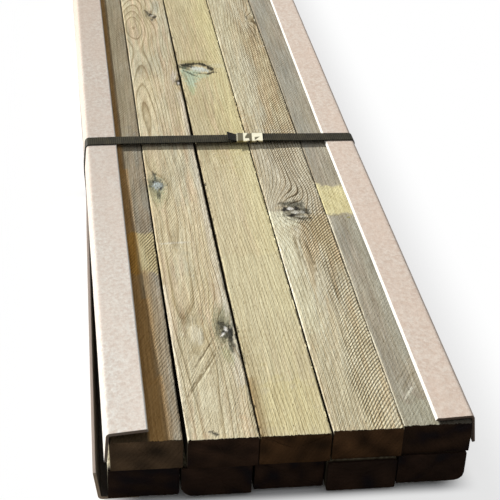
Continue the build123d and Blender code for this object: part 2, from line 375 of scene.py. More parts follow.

# %% [markdown]
# What makes one batten differ from the next is written down as a small table: its tone, where the heart
# of the tree ran under it, how wide its rings are, how the saw went over it, its knots, its stains, and the
# light and shade painted on it. Places are in millimetres, x in the bundle's own frame and t from the front
# end. Colours are linear light. The end tone is dark end grain, made darker still as painted shade. A heart
# is rows of (t, x, depth). A saw is pitch, slant, bow, depth and scraping. A stain, whether real or a patch
# of painted shade or highlight, is a box with a soft edge: x from and to, t from and to, colour, softness,
# strength. A dab is one stroke of stain: x, t, half length, half width, angle from x in degrees, colour,
# strength. A knot's warp draws the ring lines to it, its lift adds rings, and cracked is how far its wood
# has opened. The saw's strokes begin at saw_from across the face and are as strong as saw_fade along it;
# sunk is how low the face lies.

# %% The character of the first two top battens
BLACK, PALE = (0.02, 0.018, 0.015), (0.8, 0.78, 0.73)
TOP_BATTENS = [
    dict(
        tone=(0.31, 0.265, 0.185), blush=(0.32, 0.26, 0.18), grey=(0.275, 0.25, 0.195),
        end=(0.047, 0.029, 0.0155),
        heart=[(0, -165, 42), (2400, -140, 50)], ring_width=3.2, contrast=[(0, 0.3)],
        saw=(5.0, 1.77, 0.0, 0.48, 0.6), saw_from=None,
        saw_fade=[(0, 0.45), (150, 0.6), (215, 1.1), (225, 1.7), (280, 1.7), (295, 1.0)],
        sunk=0.4, knots=[],
        stains_and_painted_light=[
            (-130, -70, 219, 285, (0.5, 0.425, 0.235), 3.0, 0.85),
            (-130, -70, 480, 2410, (0.335, 0.282, 0.18), 40.0, 0.7),
            # Painted shadow: the shadow of the top left board's lifted edge on this batten, with its soft
            # edge and its golden part over the yellow patch.
            (-130, -86, -10, 225, (0.36, 0.25, 0.125), 5.0, 0.75),
            (-130, -88, -10, 74, (0.48, 0.27, 0.09), 5.0, 0.9),
            (-130, -90.5, 66, 184, (0.48, 0.27, 0.09), 4.0, 0.9),
            (-130, -94.5, 176, 404, (0.48, 0.27, 0.09), 3.0, 0.9),
            (-130, -97, 396, 2410, (0.48, 0.27, 0.09), 2.4, 0.9),
            (-130, -93.5, 219, 284, (0.58, 0.3, 0.06), 3.0, 0.85),
            # Painted shade under the front end of the top left board.
            (-130, -101, -10, 16, (0.055, 0.04, 0.024), 1.5, 0.95),
        ],
        dabs=[],
    ),
    dict(
        tone=(0.56, 0.475, 0.3), blush=(0.57, 0.45, 0.3), grey=(0.57, 0.515, 0.36),
        end=(0.0195, 0.0098, 0.0053),
        heart=[(0, -58, 20), (350, -62, 14), (540, -68, 12), (663, -66, 19), (700, -66, 22), (760, -65, 13),
               (815, -64, 21), (950, -58, 40), (1300, -50, 50), (1700, -60, 22), (2400, -50, 60)],
        ring_width=2.7, contrast=[(0, 0.6), (60, 0.8), (210, 0.8), (260, 0.6), (430, 0.55), (520, 0.85)],
        saw=(5.0, 2.3, 0.0, 0.16, 0.6),
        saw_from=None, sunk=0.0,
        knots=[
            dict(place=(-44, 798), size=(5.5, 12), turn=0.0, warp=0.85, lift=1.2),
            dict(place=(-29, 603), size=(3.5, 7), turn=0.0, warp=0.7, lift=0.8),
            dict(place=(-68.5, 372), size=(6, 11), turn=0.0, warp=0.85, lift=1.0),
            dict(place=(-33, 131), size=(6, 16), turn=0.1, warp=0.9, lift=1.5),
            dict(place=(-56.5, 130), size=(7, 18), turn=0.05, warp=0.9, lift=0.4, cracked=0.0),
        ],
        stains_and_painted_light=[
            (-80, -20, -10, 110, (0.62, 0.555, 0.38), 40.0, 0.8),
            (-80, -44, 62, 128, (0.5, 0.43, 0.275), 18.0, 0.6),
            (-80, -20, 258, 338, (0.67, 0.575, 0.375), 18.0, 0.6),
            (-80, -45, 490, 620, (0.7, 0.61, 0.405), 18.0, 0.6),
            (-74, -50, 395, 450, (0.48, 0.405, 0.25), 12.0, 0.5),
            (-48, -24, 205, 262, (0.67, 0.59, 0.385), 10.0, 0.5),
            (-66, -40, 165, 215, (0.65, 0.56, 0.355), 12.0, 0.5),
            (-33, -20, 60, 580, (0.66, 0.61, 0.5), 3.0, 0.55),
            # Painted highlight on the lit left arris near the front end.
            (-80, -73.5, -10, 200, (0.72, 0.66, 0.52), 1.5, 0.6),
        ],
        dabs=[
            (-38, 826, 24, 5, 85, (0.45, 0.45, 0.35), 0.6), (-45, 798, 15, 6, 100, (0.34, 0.31, 0.2), 0.65),
            (-48.6, 809, 8, 1.7, 112, (0.06, 0.05, 0.035), 0.85), (-46, 800, 5, 3, 90, BLACK, 0.85),
            (-40.5, 793.5, 5, 2.3, 70, (0.06, 0.05, 0.035), 0.9),
            (-44.2, 785, 6, 1.7, 80, (0.08, 0.07, 0.05), 0.75),
            (-43.8, 796.5, 2.6, 1.4, 90, PALE, 0.95),
            (-33, 619, 15, 3.2, 82, (0.62, 0.58, 0.51), 0.6),
            (-29.5, 604, 8, 3.3, 90, (0.04, 0.036, 0.03), 0.92),
            (-28.8, 602, 2.6, 1.3, 90, PALE, 0.95),
            (-70, 360, 28, 8, 92, (0.35, 0.355, 0.2), 0.6),
            (-69.8, 391, 10, 1.9, 95, (0.06, 0.06, 0.045), 0.88),
            (-68.6, 355, 10, 2.0, 88, (0.07, 0.07, 0.045), 0.88),
            (-73.6, 372, 4, 1.6, 20, (0.1, 0.1, 0.08), 0.75),
            (-62.6, 373, 3.2, 1.4, 0, (0.17, 0.17, 0.14), 0.65),
            (-68.6, 374, 18, 8.5, 95, (0.26, 0.27, 0.18), 0.6),
            (-68.6, 375, 11.5, 6.4, 95, (0.1, 0.1, 0.075), 0.85),
            (-68.0, 372.5, 7.8, 4.6, 95, (0.42, 0.46, 0.44), 0.97),
            (-66, 366, 3, 1.3, 60, BLACK, 0.8), (-71, 379.5, 3, 1.2, 120, BLACK, 0.8),
            (-35, 138, 30, 8, 88, (0.3, 0.29, 0.18), 0.7),
            (-33.4, 133, 15, 6.2, 93, (0.13, 0.125, 0.085), 0.85),
            (-35.6, 141, 6, 3.0, 100, (0.06, 0.056, 0.04), 0.85),
            (-31, 129, 10, 2.8, 82, (0.045, 0.044, 0.04), 0.92),
            (-30.6, 117, 10, 2.6, 96, (0.08, 0.078, 0.06), 0.8),
            (-31.7, 107, 6, 1.7, 95, (0.05, 0.05, 0.03), 0.85), (-34.8, 131, 4, 1.7, 50, BLACK, 0.85),
            (-36.6, 127.5, 2.9, 1.3, 55, PALE, 0.95), (-33.2, 134.8, 3.4, 1.4, 100, PALE, 0.95),
            (-35.5, 99, 11, 4.2, 100, (0.42, 0.42, 0.24), 0.55),
            (-56.5, 129, 26, 10, 95, (0.42, 0.345, 0.2), 0.5),
            (-56.5, 129, 15, 5.4, 95, (0.68, 0.62, 0.46), 0.7),
            (-58, 108, 6, 4, 60, (0.36, 0.29, 0.16), 0.5),
            (-53.7, 102, 23, 0.9, 63.8, (0.17, 0.125, 0.065), 0.85),
            (-52.4, 101.4, 22, 0.8, 63.8, (0.8, 0.71, 0.48), 0.8),
            (-55, 79.5, 36, 0.9, 63.6, (0.19, 0.14, 0.07), 0.85),
            (-53.7, 79, 34, 0.8, 63.6, (0.78, 0.7, 0.48), 0.75),
            (-50, 95, 22, 0.8, 65, (0.25, 0.19, 0.1), 0.7), (-63, 67, 16, 0.8, 62, (0.22, 0.17, 0.09), 0.75),
            (-46, 92, 17, 0.8, 67, (0.27, 0.21, 0.12), 0.65), (-60, 268, 13, 1.4, 4, (0.72, 0.68, 0.56), 0.7),
            (-56, 6.7, 4, 1.6, 140, BLACK, 0.9),
        ],
    ),
]
print("battens described:", len(TOP_BATTENS), "dabs:", sum(len(b["dabs"]) for b in TOP_BATTENS))

# %% [markdown]
# The third batten has a knot cut lengthwise, a pale lens with a black lip and a green stain under it. The
# fourth shows the saw best: its strokes cross the ring lines and leave a waffle along one edge.

# %% The character of the other top battens
GREEN = (0.47, 0.55, 0.4)
TOP_BATTENS += [
    dict(
        tone=(0.585, 0.503, 0.293), blush=(0.56, 0.447, 0.28), grey=(0.59, 0.53, 0.345),
        end=(0.044, 0.021, 0.008),
        heart=[(0, -96, 34), (900, -132, 40), (2400, -110, 30)], ring_width=2.7, contrast=[(0, 0.62)],
        saw=(6.0, 2.2, 0.0, 0.06, 0.25), saw_from=None, sunk=0.6,
        knots=[dict(place=(-6, 639), size=(16, 9), turn=-0.56, warp=0.25, lift=0.4, cracked=0.15)],
        stains_and_painted_light=[
            (-30, -6, 60, 2410, (0.52, 0.44, 0.268), 12.0, 0.6),
            (9, 30, 150, 1100, (0.655, 0.582, 0.315), 9.0, 0.65),
            (6, 30, 230, 420, (0.72, 0.65, 0.4), 15.0, 0.5),
            (-30, 12, 120, 410, (0.67, 0.59, 0.395), 22.0, 0.5),
            (-30, 30, -10, 245, (0.635, 0.57, 0.365), 3.0, 0.6),
            (-30, 30, -10, 60, (0.63, 0.55, 0.3), 20.0, 0.6),
            # Painted shade at the left edge near the front, which widens the dark gap.
            (-30, -20, -10, 118, (0.36, 0.26, 0.13), 12.0, 0.55),
            (-30, -19, -10, 70, (0.3, 0.205, 0.095), 5.0, 0.7),
        ],
        dabs=[
            (-8, 657, 18, 5.5, -5, (0.34, 0.285, 0.12), 0.65), (17, 646, 9, 6, 0, (0.62, 0.58, 0.4), 0.5),
            (-12.5, 629, 11, 7, 0, GREEN, 0.9), (-13.5, 619, 9.5, 8, 0, GREEN, 0.9),
            (-14.5, 608, 7.5, 9, 0, GREEN, 0.9),
            (-15.5, 596, 5, 10, 0, GREEN, 0.85), (-16, 582, 3.2, 13, 0, (0.44, 0.48, 0.28), 0.8),
            (-3, 619, 9.5, 6, 28, (0.5, 0.54, 0.36), 0.75),
            (-3.5, 638, 13.5, 5.6, -30, (0.66, 0.69, 0.61), 0.97),
            (-16, 645, 8.5, 4.2, -12, (0.06, 0.058, 0.038), 0.96), (-21, 634, 5, 5, 0, GREEN, 0.85),
            (-19, 641, 7, 3.0, -40, (0.12, 0.14, 0.09), 0.95),
            (-13.6, 651, 13, 3.4, 8, (0.025, 0.025, 0.015), 0.97),
            (2, 649, 9, 3.4, -42, (0.025, 0.025, 0.015), 0.97),
            (9.5, 638, 9, 3.0, -69, (0.03, 0.026, 0.015), 0.97),
            (8, 627, 7, 2.8, -150, (0.04, 0.032, 0.018), 0.95),
            (-14.4, 626, 12, 1.7, -50, (0.07, 0.085, 0.055), 0.88),
            (-2, 626, 10, 1.8, -22, (0.09, 0.085, 0.045), 0.8),
            (-20, 615, 18, 1.2, 100, (0.2, 0.2, 0.1), 0.6),
        ],
    ),
    dict(
        tone=(0.56, 0.482, 0.31), blush=(0.54, 0.43, 0.27), grey=(0.58, 0.528, 0.388),
        end=(0.037, 0.0176, 0.007),
        heart=[(0, 2, 30), (600, -4, 30), (900, 6, 36), (2400, 20, 46)], ring_width=2.5,
        contrast=[(0, 1.1), (310, 1.1), (350, 1.7), (450, 1.7), (520, 1.4)],
        saw=(4.4, 1.15, 0.031, 1.0, 0.8),
        saw_from=[(0, 60), (120, 56), (280, 54), (330, 50), (400, 42), (470, 50), (800, 56)],
        saw_fade=[(0, 1.0), (285, 1.0), (340, 0.7), (470, 0.7), (600, 0.65)], sunk=0.0,
        knots=[
            dict(place=(49.5, 318), size=(12, 14), turn=-0.2, warp=0.85, lift=4.0, cracked=0.35),
            dict(place=(71, 781), size=(4, 10), turn=0.0, warp=0.8, lift=2.0),
        ],
        stains_and_painted_light=[
            (25, 80, 305, 470, (0.54, 0.49, 0.375), 18.0, 0.7),
            (25, 50, 289, 317, (0.7, 0.665, 0.49), 1.2, 0.95),
            (25, 43, 205, 289, (0.7, 0.66, 0.475), 8.0, 0.85),
            (25, 43, 120, 205, (0.65, 0.605, 0.42), 8.0, 0.85),
            (58, 80, 262, 312, (0.5, 0.41, 0.25), 7.0, 0.7),
            (25, 46, 520, 900, (0.6, 0.555, 0.39), 14.0, 0.75),
            # Painted highlight on the lit left arris near the front.
            (25, 27.6, -10, 260, (0.85, 0.8, 0.66), 0.7, 0.8),
            (28, 80, -10, 150, (0.63, 0.575, 0.4), 25.0, 0.5),
            (28, 52, 5, 110, (0.52, 0.47, 0.325), 10.0, 0.5),
        ],
        dabs=[
            (50.5, 317, 12.5, 19, -10, (0.2, 0.185, 0.135), 0.92),
            (50.5, 328, 9.5, 6.0, -6, (0.13, 0.12, 0.088), 0.9),
            (61, 315, 3, 8, 10, (0.1, 0.09, 0.065), 0.85), (42.4, 320, 3.4, 4.5, 0, BLACK, 0.97),
            (52.9, 320.6, 3.0, 4.2, 20, BLACK, 0.97), (59.6, 313.5, 2.6, 3.4, 0, BLACK, 0.9),
            (46.8, 308.5, 4.2, 2.6, 10, BLACK, 0.95), (47, 320.7, 2.7, 3.0, 0, PALE, 0.98),
            (50.5, 313.5, 3.6, 2.6, -20, (0.66, 0.64, 0.56), 0.95),
            (56.2, 313.6, 3.0, 2.6, -20, (0.45, 0.43, 0.36), 0.9),
            (54.5, 306.5, 7, 1.8, -8, (0.42, 0.4, 0.33), 0.85),
            (57, 302.5, 7.5, 1.9, -4, (0.12, 0.11, 0.08), 0.9),
            (55, 298.5, 7, 1.6, -6, (0.4, 0.38, 0.3), 0.8), (53, 295, 7, 1.3, -10, (0.25, 0.22, 0.15), 0.7),
            (40, 332, 5, 1.2, 45, (0.14, 0.12, 0.08), 0.7), (52, 235, 38, 0.8, 91, (0.2, 0.155, 0.085), 0.8),
            (44, 240, 34, 0.7, 92, (0.24, 0.19, 0.11), 0.75),
            (62.5, 195, 30, 0.8, 90, (0.16, 0.12, 0.06), 0.75),
            (57, 150, 50, 0.7, 90, (0.24, 0.19, 0.11), 0.65),
            (42, 252, 22, 0.8, 91, (0.3, 0.25, 0.15), 0.75),
            (46.4, 262, 13, 0.8, 85, (0.28, 0.23, 0.14), 0.75),
            (44.5, 258, 17, 0.7, 88, (0.8, 0.75, 0.58), 0.7),
            (49.6, 236, 30, 0.8, 91, (0.3, 0.24, 0.14), 0.7),
            (71, 781, 10, 3.6, 80, (0.44, 0.36, 0.22), 0.7), (68, 787, 8, 1.1, 105, (0.13, 0.1, 0.06), 0.85),
            (74.2, 772, 6, 1.3, 100, (0.12, 0.09, 0.05), 0.85),
            (72, 790, 4, 1.0, 20, (0.15, 0.11, 0.06), 0.7),
            (74, 699, 4, 1.6, 10, (0.75, 0.7, 0.56), 0.85), (68.5, 740, 40, 1.0, 95, (0.24, 0.18, 0.1), 0.75),
            (65, 720, 45, 0.9, 94, (0.28, 0.22, 0.13), 0.65),
            (72.5, 750, 30, 1.0, 86, (0.22, 0.17, 0.09), 0.75),
        ],
    ),
    dict(
        tone=(0.374, 0.333, 0.25), blush=(0.347, 0.3, 0.228), grey=(0.345, 0.324, 0.262),
        end=(0.014, 0.007, 0.0036),
        heart=[(0, 190, 60), (2400, 170, 50)], ring_width=3.4, contrast=[(0, 0.25)],
        saw=(5.0, 1.6, 0.0, 0.15, 0.25), saw_from=None, sunk=0.3, knots=[],
        stains_and_painted_light=[
            (76, 130, 307, 361, (0.68, 0.605, 0.335), 3.0, 0.95),
            # Painted highlight on the lit left arris in front of the band; behind the band the same arris is
            # darker.
            (76, 79.2, -10, 305, (0.85, 0.78, 0.6), 0.5, 0.6),
            (76, 79.2, 361, 2410, (0.3, 0.25, 0.17), 0.5, 0.6),
            (95, 130, 80, 300, (0.36, 0.36, 0.295), 6.0, 0.5),
            (76, 130, -10, 34, (0.385, 0.372, 0.28), 12.0, 0.7),
            # Painted shade under the end of the top right board.
            (104, 130, -10, 8, (0.07, 0.058, 0.045), 1.5, 0.9),
        ],
        dabs=[
            (92, 41, 9, 1.3, 58, (0.66, 0.63, 0.52), 0.75), (89, 36, 7, 1.2, 58, (0.6, 0.57, 0.46), 0.7),
            (94, 55, 12, 1.3, 58, (0.24, 0.2, 0.13), 0.6), (90, 62, 12, 1.3, 58, (0.25, 0.21, 0.14), 0.55),
            (97, 300, 2, 1.5, 0, (0.3, 0.26, 0.1), 0.8), (88, 338, 13, 1.3, 120, (0.5, 0.43, 0.2), 0.6),
            (94, 340, 15, 1.2, 112, (0.5, 0.43, 0.2), 0.55), (83.5, 324, 9, 1.1, 125, (0.5, 0.43, 0.2), 0.55),
            (96, 322, 9, 1.2, 105, (0.52, 0.45, 0.22), 0.5), (86, 355, 9, 2.0, 10, (0.55, 0.49, 0.3), 0.5),
            (90, 305, 12, 1.0, 2, (0.36, 0.3, 0.17), 0.6),
        ],
    ),
]
print("battens described:", len(TOP_BATTENS), "knots:", sum(len(b["knots"]) for b in TOP_BATTENS))

# %% [markdown]
# The section is a rectangle with small round arrises, walked clockwise as seen from the front, so that
# faces made from it point outwards. Two battens of the bottom layer were sawn next to the bark and have
# one large round corner instead. The face that is seen gets the finest steps.

# %% The outline of a batten's section
TOP_STEPS = (8, 50, 8, 10)
BOTTOM_STEPS = (8, 12, 8, 24)
CORNER_STEPS = 4


def section_outline(radii, steps):
    """Quarter arcs joined by straight runs, from the lower left corner round by the left side.

    Returns x, z, and the outward normal at each point. `radii` and `steps` go: lower left corner and left
    side, upper left and top, upper right and right side, lower right and bottom.
    """
    half = np.array([WIDTH / 2, THICKNESS / 2])
    signs = np.array([(-1, -1), (-1, 1), (1, 1), (1, -1)])
    arcs, normals = [], []
    for number, (sign, radius) in enumerate(zip(signs, radii)):
        angle = np.radians(np.linspace(270, 180, CORNER_STEPS) - 90 * number)
        normal = np.stack([np.cos(angle), np.sin(angle)], axis=1)
        arcs.append(sign * (half - radius) + radius * normal)
        normals.append(normal)
    places, outward = [], []
    for number, count in enumerate(steps):
        following = (number + 1) % 4
        share = np.linspace(0, 1, count + 1, endpoint=False)[1:, None]
        run = arcs[number][-1] + share * (arcs[following][0] - arcs[number][-1])
        places += [arcs[number], run]
        outward += [normals[number], np.repeat(normals[number][-1:], len(run), axis=0)]
    places, outward = np.concatenate(places), np.concatenate(outward)
    return places[:, 0], places[:, 1], outward[:, 0], outward[:, 1]


print("section points:", len(section_outline((ARRIS,) * 4, TOP_STEPS)[0]))

# %% [markdown]
# The rings follow from the tree: a point's ring count is its distance from the heart, divided by the ring
# width. Where the heart dives away from the face, the face cuts the rings in pointed arches. Near a knot
# the count is read from closer to the knot's middle, so the lines part and flow round it.

# %% Ring count of a batten
HEART_BLUR = np.linspace(-30, 30, 7)


def oval_distance(dx, dt, turn, first, second):
    """Distance from the middle of a turned oval, in units of its two half sizes; 1 is its rim."""
    return np.hypot((dx * cos(turn) + dt * sin(turn)) / first, (dt * cos(turn) - dx * sin(turn)) / second)


def knot_distance(knot, x, t, stretch=1.0):
    """Distance from a knot's middle in units of its size, stretched along the batten if asked."""
    (knot_x, knot_t), (wide, long) = knot["place"], knot["size"]
    return oval_distance(x - knot_x, t - knot_t, knot["turn"], wide, long * stretch)


def heart_line(batten, t):
    """Across place and depth of the heart at t: its table, smoothed over 60 mm."""
    places, *columns = np.array(batten["heart"], dtype=float).T
    return [np.mean([np.interp(t + shift, places, column) for shift in HEART_BLUR], axis=0)
            for column in columns]


def ring_count(batten, x, depth, t, seed):
    """Distance from the heart over ring width, with x drawn to the middle of each knot near it."""
    heart_x, heart_depth = heart_line(batten, t)
    wander = 1.2 * ripple_along(t, 500, seed) + 0.5 * ripple(x, t, 50, 160, seed + 1)
    drawn, lifted = x, 0.0
    for knot in batten["knots"]:
        bell = np.exp(-0.5 * (knot_distance(knot, x, t, 2.0) / 1.4) ** 2)
        drawn = drawn - knot["warp"] * bell * (x - knot["place"][0])
        lifted = lifted + knot["lift"] * np.exp(-0.5 * (knot_distance(knot, x, t) / 1.7) ** 2)
    return np.hypot(drawn - heart_x + wander, heart_depth + depth) / batten["ring_width"] + lifted


second_middle = ring_count(TOP_BATTENS[1], np.array([middle_x("top", 2)]), 0, np.array([600.0]), 7)
print("rings from the heart to the middle of the second batten:", second_middle.round(1))

# %% [markdown]
# Tone is laid on like paint: the batten's own tone drifting towards a greyer one, then its stains and its
# painted shade and highlights, then the dabs that make up knots, checks and scuffs. Each random field adds
# its own number to the batten's seed, so that no two fields of a batten look alike.


# %% Tone of a batten
def laid_over(tone, colour, share):
    """A colour laid over a tone by a share from 0 to 1."""
    return tone + (np.asarray(colour) - tone) * share[..., None]


def batten_tone(batten, x, t, seed):
    """Base tone, drift towards grey, streaks of a warmer blush, and a fine unevenness."""
    drift = smooth_step(-1.2, 1.2, ripple(x, t, 70, 420, seed + 3))
    tone = laid_over(np.broadcast_to(np.array(batten["tone"]), x.shape + (3,)), batten["grey"], drift)
    blush = smooth_step(-0.6, 1.4, ripple(x, t, 11, 170, seed + 17) + 0.5 * ripple(x, t, 4, 60, seed + 18))
    tone = laid_over(tone, batten["blush"], 0.8 * blush)
    uneven = 1 + 0.05 * ripple(x, t, 14, 130, seed + 4) + 0.05 * ripple(x, t, 5, 70, seed + 15)
    return tone * uneven[..., None]


def with_stains_and_painted_light(batten, tone, x, depth, t, seed):
    """Stain boxes, painted shade and highlights among them, on the upper part, then dabs on the face,
    torn-edged.
    """
    near_top = smooth_step(THICKNESS, THICKNESS * 0.3, depth)
    for left, right, low, high, colour, blur, share in batten["stains_and_painted_light"]:
        ragged = 0.7 * blur * ripple(x, t, 18, 18, seed + 5)
        inside = smooth_step(left - blur, left + blur, x) * smooth_step(right + blur, right - blur, x)
        inside = inside * smooth_step(low - blur, low + blur, t + ragged)
        inside = inside * smooth_step(high + blur, high - blur, t + ragged)
        tone = laid_over(tone, colour, share * inside * near_top)
    on_face = smooth_step(THICKNESS * 0.5, THICKNESS * 0.1, depth)
    torn = 0.18 * ripple(x, t, 3.5, 5, seed + 16)
    for spot_x, spot_t, long, wide, turn, colour, share in batten["dabs"]:
        away = oval_distance(x - spot_x, t - spot_t, radians(turn), long, wide)
        tone = laid_over(tone, colour, share * smooth_step(1.25, 0.6, away + torn) * on_face)
    return np.clip(tone, 0.003, 0.95)


def darkened_at_ends_and_gaps(layer, number, batten, tone, depth, from_end, normal_x):
    """The dark end tone spreads over the ends' edges, and as painted shade down the sides that face the gaps.
    """
    end_darkening = smooth_step(3.0, 0.5, from_end) * smooth_step(0.4, 2.0, depth)
    if layer == "bottom":
        end_darkening = smooth_step(9.0, 2.0, from_end)
    # Painted shade: the sides that face a neighbour are darkened along the whole batten.
    in_gap = ((normal_x < -0.7) & (number > 1)) | ((normal_x > 0.7) & (number < 5))
    return laid_over(tone, batten["end"], np.maximum(end_darkening, 0.85 * in_gap * smooth_step(0.6, 3.0, depth)))


print("tone fields ready")

# %% [markdown]
# Saw strokes are straight or slightly bowed lines. They fade out over the hard wood of a knot, and on one
# batten they stop at a ragged border.


# %% Saw strokes of a batten
def table_at(table, t):
    """A table of (t, value) rows read at t, straight from row to row."""
    return np.interp(t, *np.array(table, dtype=float).T)


def saw_marks(batten, x, t, seed):
    """Phase (t - slant u + bow u^2 / 2) / pitch with u from the right edge, depth, and rough edge."""
    pitch, slant, bow, depth, _ = batten["saw"]
    u = x - x.max()
    phase = (t - slant * u + 0.5 * bow * u * u + ripple(x, t, 120, 200, seed + 6)) / pitch
    shown = depth * (0.75 + 0.3 * ripple(x, t, 40, 120, seed + 7))
    shown = shown * table_at(batten.get("saw_fade", [(0, 1.0)]), t)
    edge = np.ones_like(x)
    if batten["saw_from"] is not None:
        ragged = 3 * ripple_along(t, 160, seed + 8)
        edge = smooth_step(-4, 4, x - table_at(batten["saw_from"], t) + ragged)
    shown = shown * (0.15 + 0.85 * edge)
    for knot in batten["knots"]:
        shown = shown * smooth_step(0.9, 1.6, knot_distance(knot, x, t))
    return phase, np.clip(shown, 0, 1), edge


print("battens whose strokes stop at a border:", sum(b["saw_from"] is not None for b in TOP_BATTENS))

# %% [markdown]
# The rough surface is real: saw strokes, ring lines and torn arrises are cut into the points, always
# inwards, so that the battens still fit under the bands. The ends are rings of points drawn in to the
# middle, in the dark tone of end grain, made darker still as painted shade.

# %% Surface and ends of a batten
END_RINGS = np.array([0.04, 0.2, 0.36, 0.52, 0.68, 0.82, 0.93, 0.985])[:, None]
STROKE_CUT = 0.14
RING_CUT = 0.06


def surface_cut(batten, x, depth, t, rings, phase, sawn, corner, seed):
    """How deep the surface is cut in: strokes, soft wood between ring lines, knots and torn arrises."""
    cut = STROKE_CUT * sawn * (0.5 + 0.5 * np.cos(2 * pi * phase))
    soft = smooth_step(0.1, 0.5, np.abs((rings % 1) - 0.9))
    cut = cut + RING_CUT * table_at(batten["contrast"], t) * soft
    cut = cut + 0.05 * (1.5 + ripple(x, t, 12, 90, seed + 9)).clip(0)
    cut = cut + batten["sunk"] * (depth < 3)
    for knot in batten["knots"]:
        away = knot_distance(knot, x, t)
        cut = cut + (0.5 * np.exp(-0.5 * ((away - 0.9) / 0.2) ** 2)) * (depth < 2)
    torn = (0.35 + 0.5 * ripple(x, t, 40, 14, seed + 10)).clip(0)
    return cut + corner * torn * 0.7


def cracked_knots(batten, x, depth, t):
    """How far the wood of a knot has cracked: most in its middle, and near the upper face only."""
    cracked = np.zeros_like(x)
    for knot in batten["knots"]:
        inside = smooth_step(1.15, 0.7, knot_distance(knot, x, t))
        cracked = np.maximum(cracked, knot.get("cracked", 0.6) * inside * (depth < 6))
    return cracked


def end_rows(batten, body, front, seed):
    """Rings of points from an end's edge in to its middle, a little rough, with their attributes."""
    edge = body[0 if front else -1]
    x, y, z = edge[:, 0], edge[:, 1], edge[:, 2]
    hub_x, hub_z = (x.min() + x.max()) / 2, (z.min() + z.max()) / 2
    ex = hub_x + (x - hub_x) * END_RINGS
    ez = hub_z + (z - hub_z) * END_RINGS
    rough = 0.18 * ripple(ex, ez, 5, 5, seed + 12) + 0.12 * ripple(ex, ez, 30, 2.5, seed + 13)
    sink = (0.35 + rough) * smooth_step(1.0, 0.93, END_RINGS)
    ey = y.mean() + (sink if front else -sink) + (y - y.mean()) * smooth_step(0.9, 1.0, END_RINGS)
    et = np.full_like(ex, 0 if front else LENGTH)
    rings = ring_count(batten, ex, z.max() - ez, et, seed)
    tone = np.array(batten["end"]) * (1 + 0.3 * ripple(ex, ez, 25, 25, seed + 14))[..., None].clip(0.35)
    zero = np.zeros_like(ex)
    marks = np.stack([zero, zero + 0.25, zero], axis=-1)
    rows = (np.stack([ex, ey, ez], -1), rings, zero, zero, tone.clip(0.003, 1), marks)
    return rows if front else tuple(part[::-1] for part in rows)


print("end rings:", len(END_RINGS))

# %% [markdown]
# A batten's mesh is its section carried along its line, with rows set closer where it is seen closer. In
# the top layer the sides also swell into the gaps: wood dries out of shape, and in the picture the gaps
# are wider in some places and closed in others.

# %% The line of a batten
NEAR_PART = 460
SEEN_PART = 860
BACK_PART = 40
SWELL_PLACES = (0, 450, 900)
SWELLS = (
    ((0, 0, 0), (0.25, 0.3, 0.3)),
    ((0.25, 0.3, 0.3), (-0.4, -0.4, 0.8)),
    ((0.3, 0.9, 1.7), (0.35, 0.45, 0.55)),
    ((0.35, 0.4, 0.4), (0.4, 0.4, 0.4)),
    ((0.4, 0.4, 0.4), (0, 0, 0)),
)


def row_places(fine, coarse):
    """Distances from the front end: fine near it, coarser beyond the band, fine again at the back end."""
    edge = np.array([0, 0.5, 1.1])
    near = np.arange(1.8, NEAR_PART, fine)
    middle = np.arange(NEAR_PART, SEEN_PART, fine * 1.35)
    far = np.arange(SEEN_PART, LENGTH - BACK_PART, coarse)
    back = LENGTH - BACK_PART * (1 - np.linspace(0, 1, 14)) ** 1.5
    return np.concatenate([edge, near, middle, far, back])


def line_drift(layer, number, y):
    """How far a batten strays to the right at y: a parabola beyond each band."""
    drift = np.where(y < 0, FRONT_DRIFT[layer][number - 1], BACK_DRIFT[layer][number - 1]) * SIDE_GAP
    return drift * (np.maximum(np.abs(y) - BAND_PLACE, 0) / (LENGTH / 2 - BAND_PLACE)) ** 2


def swollen(number, t, y, x, side_x):
    """A top batten's x with each side moved into its gap by its table, at most just past the gap's middle."""
    for side in (-1, 1):
        other = number + side
        if 1 <= other <= 5:
            apart = middle_x("top", other) + line_drift("top", other, y) - x.mean(axis=1)
            most = np.interp(t, SWELL_PLACES, SWELLS[number - 1][0 if side < 0 else 1])
            swell = np.minimum(0.55 * (np.abs(apart) - WIDTH), most)[:, None]
            x = x + side * swell * smooth_step(WIDTH * 0.3, WIDTH * 0.5, side * side_x)
    return x


def batten_places(layer, number, fine, coarse, outline):
    """Places x, y, z of an outline carried along a batten, and t from the front end, all as grids."""
    side_x, side_z = outline
    front = -LENGTH / 2 - FRONT_OUT[layer][number - 1] * END_STAGGER
    back = LENGTH / 2 + BACK_OUT[layer][number - 1] * END_STAGGER
    t = row_places(fine, coarse)
    y = front + t * (back - front) / LENGTH
    x = (middle_x(layer, number) + line_drift(layer, number, y))[:, None] + side_x
    if layer == "top":
        x = swollen(number, t, y, x, side_x)
    z = LAYER_MIDDLE[layer] + side_z
    return x, *(np.broadcast_to(part, x.shape) for part in (y[:, None], z, t[:, None]))


print("rows along a batten, if 2 and 10 mm apart:", len(row_places(2.0, 10.0)))

# %% [markdown]
# Everything comes together here: places first, then the fields on them, then the cuts, then the ends. The
# fourth batten gets closer rows than the others, because its saw strokes are the finest detail of all.

# %% Making the top layer
FINE_ROWS, FINEST_ROWS, COARSE_ROWS = 1.7, 1.3, 9.0


